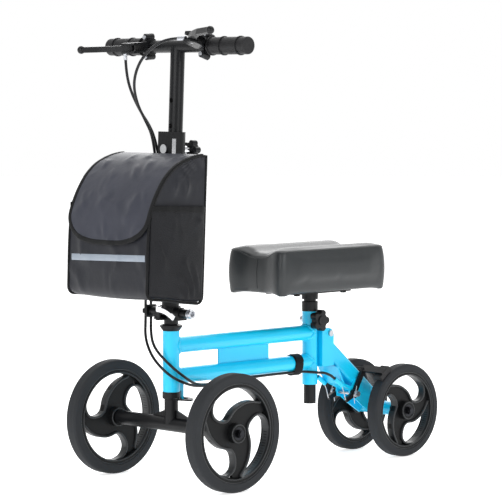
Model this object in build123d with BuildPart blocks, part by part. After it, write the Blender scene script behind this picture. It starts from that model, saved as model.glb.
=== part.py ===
"""Knee scooter: a welded frame on four spoked wheels, a folding steering column with a bag,
a sliding handlebar with two brake levers, a kneeling pad on a sliding post and two rear tyre brakes.

Frame: +Z up, the rider faces -Y, +X is the rider's left, the origin is on the ground under the middle.
All lengths are in millimetres and all angles in degrees.
"""
from build123d import *
from math import acos, cos, pi, radians, sin, tan
import os

# ---------------------------------------------------------------- driving dimensions
# wheels
front_wheel_radius = 101.6
rear_wheel_radius = 86.0
front_tyre_depth = 15.6
rear_tyre_depth = 13.3
tyre_width = 25.0
rim_width = 21.0
web_thickness = 8.0
hub_radius = 17.0
hub_half_width = 14.5
front_axle_y = -226.7
rear_axle_y = 296.7
front_wheel_x = 153.0
rear_wheel_x = 64.0
axle_radius = 4.0
bearing_radius = 11.0
bearing_width = 7.0
running_gap = 0.05
face_gap = 0.5

# frame
tube_radius = 14.0
tube_wall = 2.0
head_tube_radius = 14.5
steering_y = -228.0
head_tube_bottom = 159.0
head_tube_top = 265.0
top_tube_z = 239.0
lower_tube_z = 185.5
plate_front = -115.5
plate_rear = 8.0
plate_thickness = 3.0
seat_tube_y = 115.0
seat_tube_bottom = 144.0
seat_tube_top = 278.0
collar_height = 18.0
bracket_wall = 3.0
bracket_depth = 30.0
bracket_bottom = 176.0
bracket_top = 246.0
leg_width = 30.0
leg_depth = 30.0
leg_angle = 40.2
rear_tube_radius = 12.7
rear_tube_half = 43.0

# fork
steerer_radius = 9.0
cup_radius = 15.5
cup_height = 12.0
cone_radius = 19.5
cone_gap = 0.3
post_radius = 12.0
post_top = 146.5
beam_radius = 12.5
beam_half = 136.0
neck_radius = 12.4
yoke_floor = 284.5
yoke_plate = 3.0
stop_angle = 45.0
stop_reach = 24.5
stop_finger = 5.0

# folding column
pivot_y = -230.0
pivot_z = 297.0
lean = 2.4
barrel_radius = 9.0
barrel_half = 16.6
skewer_half = 48.0
column_radius = 15.0
column_start = 12.0
clamp_start = 252.0
clamp_end = 312.0
clamp_radius = 17.5
clamp_bolt_s = 282.0

# handlebar
stem_radius = 12.5
stem_start = 165.0
bar_s = 459.4
bar_radius = 11.1
bar_half = 172.0
hole_pitch = 44.0
first_hole_s = 190.0
grip_radius = 15.0
grip_start = 86.0
grip_end = 175.0
perch_x = 73.0
perch_width = 14.0
lever_pivot_x = 80.0
lever_reach = 41.0
lever_height = 10.0
left_lever_tilt = 18.0
right_lever_tilt = -4.0

# bag, on the front of the column
bag_half_width = 100.0
bag_back = 26.4
bag_front = 147.0
bag_bottom = 32.0
bag_top = 274.0
bag_arc_radius = 116.0
bag_wall = 4.0
flap_thickness = 3.0
flap_gap = 0.4
flap_hinge_d = 30.0
strap_width = 25.0

# seat
post_radius_seat = 11.1
post_wall = 2.0
seat_post_bottom = 109.0
pad_bottom = 318.0
pad_top = 400.0
pad_front = -25.5
pad_rear = 242.5
pad_half_width = 70.0
groove_half_width = 24.0
groove_depth = 16.0
seat_plate_thickness = 4.0
seat_knob_z = 262.0

# rear brakes
arm_pivot_y = 209.5
arm_pivot_z = 120.0
arm_inner = 19.0
arm_thickness = 6.0
shoe_gap = 2.5
shoe_angle = 128.0
cable_radius = 2.5
cable_play = 0.9

# ---------------------------------------------------------------- derived places
front_axle_z = front_wheel_radius
rear_axle_z = rear_wheel_radius
sin_lean = sin(radians(lean))
cos_lean = cos(radians(lean))
arm_outer = arm_inner + arm_thickness
bar_y = pivot_y + bar_s * sin_lean
bar_z = pivot_z + bar_s * cos_lean

# across the column: local x is across, local y is backwards, the offset is the distance above the pivot
column = Plane(origin=(0, pivot_y, pivot_z), x_dir=(1, 0, 0), z_dir=(0, sin_lean, cos_lean))
# side view of the column: local x is backwards, local y is up the column
column_side = Plane(origin=(0, pivot_y, pivot_z), x_dir=(0, cos_lean, -sin_lean), z_dir=(1, 0, 0))


def on_column(s, back=0.0, x=0.0):
    """The place at distance s above the pivot and back behind the column's axis."""
    return (x, pivot_y + s * sin_lean + back * cos_lean, pivot_z + s * cos_lean - back * sin_lean)


def facing_back(s, back, x=0.0):
    """A plane square to the column's front-to-back direction, facing backwards."""
    return Plane(origin=on_column(s, back, x), x_dir=(1, 0, 0), z_dir=(0, cos_lean, -sin_lean))


def side_view(x, y=0.0, z=0.0):
    """The side view at a given x: local x is +Y and local y is +Z."""
    return Plane(origin=(x, y, z), x_dir=(0, 1, 0), z_dir=(1, 0, 0))


def finish(builder, label):
    """Name a finished piece and write it."""
    builder.part.label = label
    export_step(builder.part, f"parts/{label}.step")


def ring(plane, radius, length, bore=0.0, mode=Mode.ADD):
    """A round bar, or a ring, standing on a plane."""
    with BuildSketch(plane) as section:
        Circle(radius)
        if bore:
            Circle(bore, mode=Mode.SUBTRACT)
    extrude(section.sketch, amount=length, mode=mode)


def rod_x(y, z, radius, x0, x1, bore=0.0, mode=Mode.ADD):
    """A round bar along X between two places."""
    ring(side_view(min(x0, x1), y, z), radius, abs(x1 - x0), bore, mode)


def rod_z(x, y, radius, z0, z1, bore=0.0, mode=Mode.ADD):
    """A round bar along Z between two heights."""
    ring(Plane.XY.offset(z0).move(Location((x, y, 0))), radius, z1 - z0, bore, mode)


def slab_x(points, x0, x1, mode=Mode.ADD):
    """A plate with a side-view outline, between two places along X."""
    with BuildSketch(side_view(min(x0, x1))) as outline:
        Polygon(*points, align=None)
    extrude(outline.sketch, amount=abs(x1 - x0), mode=mode)


os.makedirs("parts", exist_ok=True)

# ---------------------------------------------------------------- frame
finger_front = steering_y + stop_reach - stop_finger / 2
finger_rear = finger_front + stop_finger
finger_bottom = post_top - 5
tube_underside = lower_tube_z - tube_radius

with BuildPart() as head_tube:
    rod_z(0, steering_y, head_tube_radius, head_tube_bottom, head_tube_top)
    # the finger that hangs into the fork's stop plate
    slab_x(
        [
            (steering_y + head_tube_radius - 2, head_tube_bottom),
            (steering_y + head_tube_radius - 2, tube_underside),
            (finger_rear, tube_underside),
            (finger_rear, finger_bottom),
            (finger_front, finger_bottom),
            (finger_front, head_tube_bottom),
        ],
        -stop_finger / 2,
        stop_finger / 2,
    )
    rod_z(0, steering_y, head_tube_radius - tube_wall, 0, pivot_z, mode=Mode.SUBTRACT)
finish(head_tube, "head_tube")


def level_tube(height):
    """One of the two level tubes, mitred to the head tube and the seat tube."""
    with BuildPart() as tube:
        start = Plane(origin=(0, steering_y, height), x_dir=(1, 0, 0), z_dir=(0, 1, 0))
        ring(start, tube_radius, seat_tube_y - steering_y - 1, tube_radius - tube_wall)
        rod_z(0, steering_y, head_tube_radius, 0, pivot_z, mode=Mode.SUBTRACT)
        rod_z(0, seat_tube_y, tube_radius, 0, pivot_z, mode=Mode.SUBTRACT)
    return tube


finish(level_tube(top_tube_z), "top_tube")
finish(level_tube(lower_tube_z), "lower_tube")

knob_boss_end = tube_radius + 4
stud_radius = 4.0
with BuildPart() as seat_tube:
    rod_z(0, seat_tube_y, tube_radius, seat_tube_bottom, seat_tube_top)
    rod_x(seat_tube_y, seat_knob_z, 8, 0, knob_boss_end)
    rod_z(0, seat_tube_y, post_radius_seat + running_gap, 0, pad_top, mode=Mode.SUBTRACT)
    rod_x(seat_tube_y, seat_knob_z, stud_radius + running_gap, 1, knob_boss_end, mode=Mode.SUBTRACT)
finish(seat_tube, "seat_tube")

with BuildPart() as seat_collar:
    collar_base = Plane.XY.offset(seat_tube_top).move(Location((0, seat_tube_y, 0)))
    ring(collar_base, tube_radius + 0.75, collar_height, post_radius_seat + running_gap)
    chamfer(seat_collar.edges().group_by(Axis.Z)[-1], 0.8)
finish(seat_collar, "seat_collar")

with BuildPart() as name_plate:
    with BuildSketch(side_view(-plate_thickness / 2)):
        with Locations(((plate_front + plate_rear) / 2, (top_tube_z + lower_tube_z) / 2)):
            Rectangle(plate_rear - plate_front, top_tube_z - lower_tube_z - 2 * tube_radius)
    extrude(amount=plate_thickness)
finish(name_plate, "name_plate")

bracket_front = seat_tube_y + tube_radius
bracket_rear = bracket_front + bracket_depth
bracket_half = leg_width / 2 + face_gap + bracket_wall
with BuildPart() as rear_bracket:
    with BuildSketch(side_view(-bracket_half)):
        with BuildLine():
            Polyline(
                (bracket_rear, bracket_top - 14),
                (bracket_rear, bracket_bottom),
                (bracket_front, bracket_bottom),
                (bracket_front, bracket_top),
                (bracket_rear - 14, bracket_top),
            )
            RadiusArc((bracket_rear - 14, bracket_top), (bracket_rear, bracket_top - 14), 14)
        make_face()
    extrude(amount=2 * bracket_half)
    inner = bracket_half - bracket_wall
    slab_x(
        [
            (bracket_front + bracket_wall, 0),
            (bracket_front + bracket_wall, pad_top),
            (bracket_rear + 9, pad_top),
            (bracket_rear + 9, 0),
        ],
        -inner,
        inner,
        Mode.SUBTRACT,
    )
finish(rear_bracket, "rear_bracket")

leg_top_y = bracket_front + bracket_wall + 1
leg_direction = (0, -cos(radians(leg_angle)), sin(radians(leg_angle)))
with BuildPart() as rear_leg:
    leg_end = Plane(origin=(0, rear_axle_y, rear_axle_z), x_dir=(1, 0, 0), z_dir=leg_direction)
    with BuildSketch(leg_end):
        RectangleRounded(leg_width, leg_depth, 5)
        RectangleRounded(leg_width - 6, leg_depth - 6, 2, mode=Mode.SUBTRACT)
    extrude(amount=(rear_axle_y - leg_top_y) / cos(radians(leg_angle)) + leg_depth)
    slab_x(
        [(0, 0), (leg_top_y, 0), (leg_top_y, pad_top), (0, pad_top)],
        -leg_width,
        leg_width,
        Mode.SUBTRACT,
    )
    slab_x(
        [
            (0, bracket_top - 4),
            (rear_axle_y, bracket_top - 4),
            (rear_axle_y, pad_top + 99),
            (0, pad_top + 99),
        ],
        -leg_width,
        leg_width,
        Mode.SUBTRACT,
    )
    rod_x(rear_axle_y, rear_axle_z, rear_tube_radius, -leg_width, leg_width, mode=Mode.SUBTRACT)
finish(rear_leg, "rear_leg")

with BuildPart() as rear_axle_tube:
    rod_x(rear_axle_y, rear_axle_z, rear_tube_radius, -rear_tube_half, rear_tube_half, rear_tube_radius - 3)
finish(rear_axle_tube, "rear_axle_tube")

cheek_inner = leg_width / 2
cheek_outer = arm_inner - 1
pivot_bolt_radius = 3.0
cheek_outline = [
    (arm_pivot_y - 8, arm_pivot_z + 6),
    (arm_pivot_y - 5, arm_pivot_z - 7),
    (arm_pivot_y + 5, arm_pivot_z - 9),
    (arm_pivot_y + 24, arm_pivot_z - 23),
    (arm_pivot_y + 54, arm_pivot_z - 42),
    (arm_pivot_y + 62, arm_pivot_z - 33),
    (arm_pivot_y + 52, arm_pivot_z - 10),
    (arm_pivot_y + 8, arm_pivot_z + 28),
]
stop_top = (bracket_front + 31, bracket_bottom - 2)
stop_bottom = (stop_top[0] + 18, stop_top[1] - 34)
lug_slope = 35.0
lug_direction = (0, cos(radians(lug_slope)), -sin(radians(lug_slope)))
lug_x = 22.0
lug_start = (lug_x, stop_top[0] - 2, bracket_bottom - 24)
lug_length = 24.0
with BuildPart() as brake_mount:
    for side in (-1, 1):
        slab_x(cheek_outline, side * cheek_inner, side * cheek_outer)
        barrel_start = (side * lug_x, lug_start[1], lug_start[2])
        ring(Plane(origin=barrel_start, z_dir=lug_direction), 4.5, lug_length)
    # the cable-stop plate hangs from the bracket and reaches the cheeks
    slab_x(
        [
            stop_top,
            (stop_top[0] + 4.3, stop_top[1] - 1.4),
            (stop_bottom[0] + 3, stop_bottom[1] + 1.5),
            stop_bottom,
        ],
        -25,
        25,
    )
    slab_x(
        [
            (stop_bottom[0], stop_bottom[1]),
            (stop_bottom[0] + 3, stop_bottom[1] + 4),
            (arm_pivot_y + 6, arm_pivot_z + 8),
            (arm_pivot_y + 2, arm_pivot_z + 4),
        ],
        -cheek_outer,
        cheek_outer,
    )
    rod_x(arm_pivot_y, arm_pivot_z, pivot_bolt_radius, -99, 99, mode=Mode.SUBTRACT)
finish(brake_mount, "brake_mount")

strap_y = 73.5
strap_drop = 7.0
with BuildPart() as cable_strap:
    strap_plane = Plane(origin=(0, strap_y - 11, 0), x_dir=(1, 0, 0), z_dir=(0, 1, 0))
    with BuildSketch(strap_plane):
        with Locations((0, -lower_tube_z)):
            Circle(tube_radius + 1.2)
        with Locations((0, -lower_tube_z + strap_drop)):
            Circle(tube_radius + 1.2)
        with Locations((0, -lower_tube_z)):
            Circle(tube_radius, mode=Mode.SUBTRACT)
        for side in (-1, 1):
            with Locations((side * 9, -tube_underside + 1.5)):
                Circle(cable_radius + cable_play, mode=Mode.SUBTRACT)
    extrude(amount=22)
finish(cable_strap, "cable_strap")

race_bore = steerer_radius + running_gap
race_outer = head_tube_radius - tube_wall
race_height = 9.0
with BuildPart() as headset_cups:
    rod_z(0, steering_y, race_outer, head_tube_top - race_height, head_tube_top, race_bore)
    rod_z(0, steering_y, race_outer, head_tube_bottom, head_tube_bottom + race_height, race_bore)
    rod_z(0, steering_y, cup_radius, head_tube_bottom - cup_height, head_tube_bottom, race_bore)
    chamfer(headset_cups.edges().group_by(Axis.Z)[0].sort_by(SortBy.LENGTH)[-1], 1.5)
finish(headset_cups, "headset_cups")


# ---------------------------------------------------------------- wheels
def polar(radius, angle):
    """A side-view point at a radius and angle."""
    return (radius * cos(radians(angle)), radius * sin(radians(angle)))


def comma_outline(angle, scale, turn):
    """One comma-shaped opening: a round lobe that narrows along the rim to a pointed tip."""

    def at(radius, lag):
        return polar(radius * scale, angle - turn * lag)

    with BuildLine() as outline:
        ThreePointArc(at(77, 86.4), at(77, 45), at(77, 4))
        ThreePointArc(at(77, 4), at(56, -23.5), at(31, -6))
        Spline(at(31, -6), at(34, 14), at(49.5, 48), at(66, 71.6), at(77, 86.4))
    return outline


def wheel(label, x, y, radius, tyre_depth, phase, turn):
    """A tyre on a moulded rim with three comma openings and a bearing bore."""
    rim_radius = radius - tyre_depth
    centre = (x, y, radius)
    across = Plane(origin=centre, x_dir=(1, 0, 0), z_dir=(0, -1, 0))
    middle = side_view(x, y, radius)
    with BuildPart() as tyre:
        with BuildSketch(across):
            with Locations((0, radius - tyre_depth / 2)):
                Rectangle(tyre_width, tyre_depth)
        revolve(axis=Axis(centre, (1, 0, 0)))
        fillet(tyre.faces().sort_by(SortBy.AREA)[-1].edges().filter_by(GeomType.CIRCLE), 5)
    finish(tyre, f"{label}_tyre")
    with BuildPart() as rim:
        with BuildSketch(middle.offset(-rim_width / 2)):
            Circle(rim_radius)
            Circle(rim_radius * 0.9, mode=Mode.SUBTRACT)
        extrude(amount=rim_width)
        with BuildSketch(middle.offset(-web_thickness / 2)):
            Circle(rim_radius * 0.92)
            for third in range(3):
                add(comma_outline(phase + 120 * third, rim_radius / 86, turn).line)
                make_face(mode=Mode.SUBTRACT)
                # a small lightening hole where the spoke meets the rim
                corners = ((75.5, 97), (75.5, 107), (67, 103.5))
                places = [polar(r * rim_radius / 86, phase + 120 * third - turn * lag) for r, lag in corners]
                Polygon(*places, align=None, mode=Mode.SUBTRACT)
        extrude(amount=web_thickness)
        ring(middle.offset(-hub_half_width), hub_radius, 2 * hub_half_width)
        ring(middle.offset(-99), bearing_radius + running_gap, 198, mode=Mode.SUBTRACT)
    finish(rim, f"{label}_rim")


wheel("front_left", front_wheel_x, front_axle_y, front_wheel_radius, front_tyre_depth, 124, 1)
wheel("front_right", -front_wheel_x, front_axle_y, front_wheel_radius, front_tyre_depth, 151.7, 1)
wheel("rear_left", rear_wheel_x, rear_axle_y, rear_wheel_radius, rear_tyre_depth, 45, -1)
wheel("rear_right", -rear_wheel_x, rear_axle_y, rear_wheel_radius, rear_tyre_depth, 100, -1)


def wheel_bearings(label, x, y, z):
    """Four bearings, two in each wheel's hub."""
    with BuildPart() as bearings:
        for side in (-1, 1):
            inner = side * (x - hub_half_width)
            outer = side * (x + hub_half_width)
            rod_x(y, z, bearing_radius, inner, inner + side * bearing_width, axle_radius)
            rod_x(y, z, bearing_radius, outer, outer - side * bearing_width, axle_radius)
    finish(bearings, label)


wheel_bearings("front_wheel_bearings", front_wheel_x, front_axle_y, front_axle_z)
wheel_bearings("rear_wheel_bearings", rear_wheel_x, rear_axle_y, rear_axle_z)


def axle(y, z, tube_end, cap_radius, wheel_x):
    """An axle with end caps on its tube, spacers, washers and domed nuts, added to the open part."""
    hub_inner = wheel_x - hub_half_width
    hub_outer = wheel_x + hub_half_width
    end = hub_outer + 7
    rod_x(y, z, axle_radius, -end, end)
    for side in (-1, 1):
        rod_x(y, z, cap_radius, side * tube_end, side * (tube_end + 2))
        rod_x(y, z, 6.5, side * (tube_end + 2), side * hub_inner)
        rod_x(y, z, 6.5, side * hub_outer, side * (hub_outer + 1.5))
        with BuildSketch(side_view(side * (hub_outer + 1.5), y, z)) as nut:
            RegularPolygon(7.5, 6)
        extrude(nut.sketch, amount=side * 5)
        rod_x(y, z, 5, side * (hub_outer + 6.5), side * (hub_outer + 8.5))


with BuildPart() as front_axle:
    axle(front_axle_y, front_axle_z, beam_half, beam_radius, front_wheel_x)
finish(front_axle, "front_axle")

bracket_bolt_y = bracket_rear - 9.5
bracket_bolt_z = bracket_top - 10
spring_end = arm_outer + 5.5
with BuildPart() as rear_axle:
    axle(rear_axle_y, rear_axle_z, rear_tube_half, rear_tube_radius, rear_wheel_x)
finish(rear_axle, "rear_axle")

with BuildPart() as frame_bolts:
    rod_x(arm_pivot_y, arm_pivot_z, pivot_bolt_radius, -spring_end, spring_end)
    for side in (-1, 1):
        rod_x(arm_pivot_y, arm_pivot_z, 5, side * spring_end, side * (spring_end + 3))
        rod_x(bracket_bolt_y, bracket_bolt_z, 5.5, side * bracket_half, side * (bracket_half + 3.5))
    rod_x(seat_tube_y, seat_knob_z, 6, -tube_radius - 7, -tube_radius + 1)
    rod_z(0, seat_tube_y, tube_radius, 0, pad_top, mode=Mode.SUBTRACT)
finish(frame_bolts, "frame_bolts")

with BuildPart() as brake_springs:
    for side in (-1, 1):
        start = side * (arm_outer + 0.5)
        rod_x(arm_pivot_y, arm_pivot_z, 5, start, side * spring_end, pivot_bolt_radius)
finish(brake_springs, "brake_springs")

# ---------------------------------------------------------------- fork
stop_plate_half = stop_angle + 10
with BuildPart() as fork_steerer:
    rod_z(0, steering_y, post_radius, front_axle_z, post_top)
    rod_z(0, steering_y, steerer_radius, post_top, yoke_floor)
    rod_z(0, steering_y, neck_radius, head_tube_top + 12, yoke_floor)
    # the cone that covers the top race
    with BuildSketch(Plane.XZ.offset(-steering_y)):
        Polygon(
            (steerer_radius - 1, head_tube_top + cone_gap),
            (head_tube_radius, head_tube_top + cone_gap),
            (cone_radius, head_tube_top + 7),
            (cone_radius, head_tube_top + 10),
            (neck_radius + 1, head_tube_top + 12),
            (steerer_radius - 1, head_tube_top + 12),
            align=None,
        )
    revolve(axis=Axis((0, steering_y, 0), (0, 0, 1)))
    with BuildSketch(Plane.XY.offset(post_top - 3).move(Location((0, steering_y, 0)))):
        with BuildLine():
            edge = 38.0
            first = stop_plate_half + 12
            CenterArc((0, 0), edge, 90 - first, 2 * first)
            Polyline(
                polar(edge, 90 + first),
                polar(post_radius - 1, 90 + first),
                polar(post_radius - 1, 90 - first),
                polar(edge, 90 - first),
            )
        make_face()
        with BuildLine():
            near = stop_reach - stop_finger
            far = stop_reach + stop_finger
            CenterArc((0, 0), near, 90 - stop_plate_half, 2 * stop_plate_half)
            CenterArc((0, 0), far, 90 - stop_plate_half, 2 * stop_plate_half)
            Line(polar(near, 90 - stop_plate_half), polar(far, 90 - stop_plate_half))
            Line(polar(near, 90 + stop_plate_half), polar(far, 90 + stop_plate_half))
        make_face(mode=Mode.SUBTRACT)
    extrude(amount=3)
    rod_x(front_axle_y, front_axle_z, beam_radius, -99, 99, mode=Mode.SUBTRACT)
finish(fork_steerer, "fork_steerer")

with BuildPart() as front_beam:
    rod_x(front_axle_y, front_axle_z, beam_radius, -beam_half, beam_half)
    for side in (-1, 1):
        with BuildSketch(Plane.XZ.offset(-front_axle_y)):
            Polygon(
                (side * (post_radius + 1), front_axle_z + beam_radius - 2),
                (side * 46, front_axle_z + beam_radius - 2),
                (side * 46, front_axle_z + beam_radius + 1),
                (side * (post_radius + 1), front_axle_z + beam_radius + 13),
                align=None,
            )
        extrude(amount=2, both=True)
    rod_x(front_axle_y, front_axle_z, beam_radius - 3, -beam_half, beam_half, mode=Mode.SUBTRACT)
finish(front_beam, "front_beam")

ear_inner = barrel_half + 0.4
ear_outer = 30.0
skewer_radius = 4.0
with BuildPart() as fold_yoke:
    with BuildSketch(Plane.XY.offset(yoke_floor).move(Location((0, pivot_y, 0)))):
        RectangleRounded(2 * ear_outer, 26, 3)
    extrude(amount=yoke_plate)
    for side in (-1, 1):
        slab_x(
            [
                (pivot_y - 10, yoke_floor),
                (pivot_y + 10, yoke_floor),
                (pivot_y + 10, pivot_z),
                (pivot_y - 10, pivot_z),
            ],
            side * ear_inner,
            side * ear_outer,
        )
        rod_x(pivot_y, pivot_z, 10, side * ear_inner, side * ear_outer)
        rod_x(pivot_y, pivot_z, 8, side * ear_outer, side * skewer_half)
    # the lug that carries the cam lever's pin
    with BuildSketch(Plane.XY.offset(yoke_floor)):
        with Locations((-6, pivot_y - 16)):
            SlotOverall(22, 12, rotation=90)
    extrude(amount=yoke_plate)
    rod_z(-6, pivot_y - 20, 2.5, yoke_floor, pivot_z + 12)
    rod_x(pivot_y, pivot_z, skewer_radius, -99, 99, mode=Mode.SUBTRACT)
finish(fold_yoke, "fold_yoke")

with BuildPart() as fold_skewer:
    rod_x(pivot_y, pivot_z, skewer_radius, -skewer_half - 3, skewer_half + 3)
    rod_x(pivot_y, pivot_z, 9, skewer_half, skewer_half + 2)
    rod_x(pivot_y, pivot_z, 7.5, skewer_half + 2, skewer_half + 8)
    rod_x(pivot_y, pivot_z, 4.5, skewer_half + 3, skewer_half + 9, mode=Mode.SUBTRACT)
finish(fold_skewer, "fold_skewer")

guide_x = -(skewer_half + 9)
guide_front_y = pivot_y - 6
guide_back_y = pivot_y + 6.5
with BuildPart() as cable_guide:
    with BuildSketch(side_view(-skewer_half - 3)):
        with Locations((pivot_y, pivot_z)):
            RectangleRounded(24, 22, 4)
    extrude(amount=3)
    for y in (guide_front_y, guide_back_y):
        rod_z(guide_x, y, cable_radius + 3.2, pivot_z - 4, pivot_z + 4)
    with BuildSketch(side_view(guide_x)):
        with Locations((pivot_y, pivot_z)):
            Rectangle(18, 8)
    extrude(amount=6.5)
    for y in (guide_front_y, guide_back_y):
        rod_z(guide_x, y, cable_radius + cable_play, pivot_z - 9, pivot_z + 9, mode=Mode.SUBTRACT)
    rod_x(pivot_y, pivot_z, skewer_radius, -skewer_half - 4, -skewer_half + 1, mode=Mode.SUBTRACT)
finish(cable_guide, "cable_guide")

with BuildPart() as fold_lever:
    eye = Plane.XY.offset(pivot_z + 3).move(Location((-6, pivot_y - 20, 0)))
    with BuildSketch(Plane.XZ.offset(-(pivot_y - 22))):
        with BuildLine():
            Spline((-8, pivot_z + 6), (10, pivot_z + 4), (34, pivot_z - 7))
        trace(line_width=8)
    extrude(amount=3)
    ring(eye, 6, 8)
    ring(eye.offset(-9), 2.5 + running_gap, 30, mode=Mode.SUBTRACT)
finish(fold_lever, "fold_lever")

# ---------------------------------------------------------------- column
with BuildPart() as column_tube:
    rod_x(pivot_y, pivot_z, barrel_radius, -barrel_half, barrel_half)
    with BuildSketch(column):
        Rectangle(2 * barrel_half, 2 * barrel_radius)
    extrude(amount=column_start)
    ring(column.offset(column_start), column_radius, clamp_start + 10 - column_start)
    ring(
        column.offset(column_start + 8),
        stem_radius + 0.08,
        clamp_end,
        mode=Mode.SUBTRACT,
    )
    rod_x(pivot_y, pivot_z, skewer_radius + running_gap, -99, 99, mode=Mode.SUBTRACT)
finish(column_tube, "column_tube")

block_front = 24.6
block_half = 17.0
plunger_radius = 4.0
with BuildPart() as column_clamp:
    with BuildSketch(column.offset(clamp_start)):
        Circle(clamp_radius)
        with Locations((0, -block_front / 2)):
            Rectangle(2 * block_half, block_front)
    extrude(amount=clamp_end - clamp_start)
    ring(column.offset(clamp_start), column_radius, 10, mode=Mode.SUBTRACT)
    ring(column.offset(clamp_start + 5), stem_radius + 0.08, 99, mode=Mode.SUBTRACT)
    ring(facing_back(clamp_bolt_s, -40), plunger_radius, 99, mode=Mode.SUBTRACT)
finish(column_clamp, "column_clamp")

stud_gap = 0.4
knob_front = 34.0
with BuildPart() as clamp_bolt:
    # the head and shank in front, the spacer behind, both short of the sliding stem
    front_end = stem_radius + stud_gap
    ring(facing_back(clamp_bolt_s, -block_front), plunger_radius, block_front - front_end)
    ring(facing_back(clamp_bolt_s, -block_front - 3), 8, 3)
    ring(
        facing_back(clamp_bolt_s, clamp_radius),
        6.5,
        knob_front - face_gap - clamp_radius,
        3 + running_gap,
    )
    # the slotted strip on the front corner
    with BuildSketch(column.offset(clamp_start + 4)):
        with Locations((block_half + 1, -block_front + 5)):
            Rectangle(2, 8)
    extrude(amount=clamp_end - clamp_start - 16)
finish(clamp_bolt, "clamp_bolt")


def star_knob(plane, radius, thickness, stud, stud_length):
    """A five-lobed hand knob that stands on a plane, with its stud behind it."""
    with BuildPart() as knob:
        with BuildSketch(plane):
            Circle(radius * 0.72)
            with PolarLocations(radius * 0.68, 5):
                Circle(radius * 0.32)
        extrude(amount=thickness)
        fillet(knob.edges().group_by(Axis(plane.origin, plane.z_dir))[-1], 1.5)
        ring(plane.offset(thickness), radius * 0.45, 2)
        ring(plane.offset(-stud_length), stud, stud_length)
    return knob


column_knob_stud = knob_front - stem_radius - stud_gap
column_knob = star_knob(facing_back(clamp_bolt_s, knob_front), 17.5, 12, 3, column_knob_stud)
finish(column_knob, "column_knob")

seat_knob_start = knob_boss_end + face_gap
seat_stud = seat_knob_start - post_radius_seat - stud_gap
seat_knob = star_knob(side_view(seat_knob_start, seat_tube_y, seat_knob_z), 20, 13, stud_radius, seat_stud)
finish(seat_knob, "seat_knob")

# ---------------------------------------------------------------- handlebar
with BuildPart() as stem:
    ring(column.offset(stem_start), stem_radius, bar_s - stem_start)
    ring(column.offset(stem_start), stem_radius - 2, bar_s - stem_start - 16, mode=Mode.SUBTRACT)
    for step in range(5):
        hole_s = first_hole_s + step * hole_pitch
        ring(facing_back(hole_s, -40), plunger_radius + 0.3, 99, mode=Mode.SUBTRACT)
    rod_x(bar_y, bar_z, bar_radius, -99, 99, mode=Mode.SUBTRACT)
finish(stem, "handlebar_stem")

with BuildPart() as handlebar:
    rod_x(bar_y, bar_z, bar_radius, -bar_half, bar_half, bar_radius - 2)
finish(handlebar, "handlebar")

flange_places = (grip_start, 115.0, 155.0)
with BuildPart() as hand_grips:
    for side in (-1, 1):
        rod_x(bar_y, bar_z, grip_radius, side * grip_start, side * grip_end)
        for place in flange_places:
            rod_x(bar_y, bar_z, grip_radius + 1.5, side * place, side * (place + 2.5))
        rod_x(bar_y, bar_z, bar_radius, side * (grip_start - 1), side * bar_half, mode=Mode.SUBTRACT)
    fillet(hand_grips.faces().sort_by(Axis.X)[0].edges(), 2)
    fillet(hand_grips.faces().sort_by(Axis.X)[-1].edges(), 2)
finish(hand_grips, "hand_grips")


def lever_view(tilt, height=0.0):
    """The plan view of a brake lever, tilted up about the handlebar, at a height above its middle."""
    lift = radians(tilt)
    plane = Plane(origin=(0, bar_y, bar_z), x_dir=(1, 0, 0), z_dir=(0, sin(lift), cos(lift)))
    return plane.offset(height)


def shifted(plane, x, y):
    """A plane moved along its own local axes."""
    return Plane(origin=plane.from_local_coords((x, y, 0)), x_dir=plane.x_dir, z_dir=plane.z_dir)


def pin_plane(side, tilt):
    """Where the pin of a lever starts, under its housing."""
    return shifted(lever_view(tilt, -housing_half), side * lever_pivot_x, -lever_reach)


def ear_plane(side, tilt, ear, forward):
    """Square to an ear of the clamp, above (1) or below (-1) the bar, facing backwards."""
    lift = radians(tilt)
    return Plane(
        origin=(
            side * perch_x,
            bar_y + ear * ear_reach * sin(lift) - forward * cos(lift),
            bar_z + ear * ear_reach * cos(lift) + forward * sin(lift),
        ),
        x_dir=(1, 0, 0),
        z_dir=(0, cos(lift), -sin(lift)),
    )


def mirrored(points, side):
    """The same outline on the rider's left (1) or right (-1), always drawn anticlockwise."""
    return [(side * x, y) for x, y in points[::side]]


housing_half = lever_height / 2 + 4
housing_outline = [
    (62, -12.5),
    (62, -46),
    (70, -53),
    (88, -53),
    (93, -46),
    (93, -30),
    (82, -12.5),
]
wall_outline = [
    (62, -12.5),
    (62, -22),
    (86, -22),
    (82, -12.5),
]
slot_half = lever_height / 2 + 0.4
pin_radius = 2.5
ear_reach = 17.0
lever_sides = ((1, left_lever_tilt), (-1, right_lever_tilt))
with BuildPart() as lever_perches:
    for side, tilt in lever_sides:
        for low, high in ((-housing_half, -slot_half), (slot_half, housing_half)):
            with BuildSketch(lever_view(tilt, low)):
                Polygon(*mirrored(housing_outline, side), align=None)
            extrude(amount=high - low)
        with BuildSketch(lever_view(tilt, -housing_half)):
            Polygon(*mirrored(wall_outline, side), align=None)
        extrude(amount=2 * housing_half)
        clamp_inner = perch_x - perch_width / 2
        clamp_outer = perch_x + perch_width / 2 - 1
        rod_x(bar_y, bar_z, grip_radius, side * clamp_inner, side * clamp_outer)
        for ear in (-1, 1):
            ring(ear_plane(side, tilt, ear, 9), 6, 17)
    rod_x(bar_y, bar_z, bar_radius, -99, 99, mode=Mode.SUBTRACT)
    for side, tilt in lever_sides:
        ring(pin_plane(side, tilt), pin_radius, 2 * housing_half, mode=Mode.SUBTRACT)
finish(lever_perches, "lever_perches")

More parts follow.
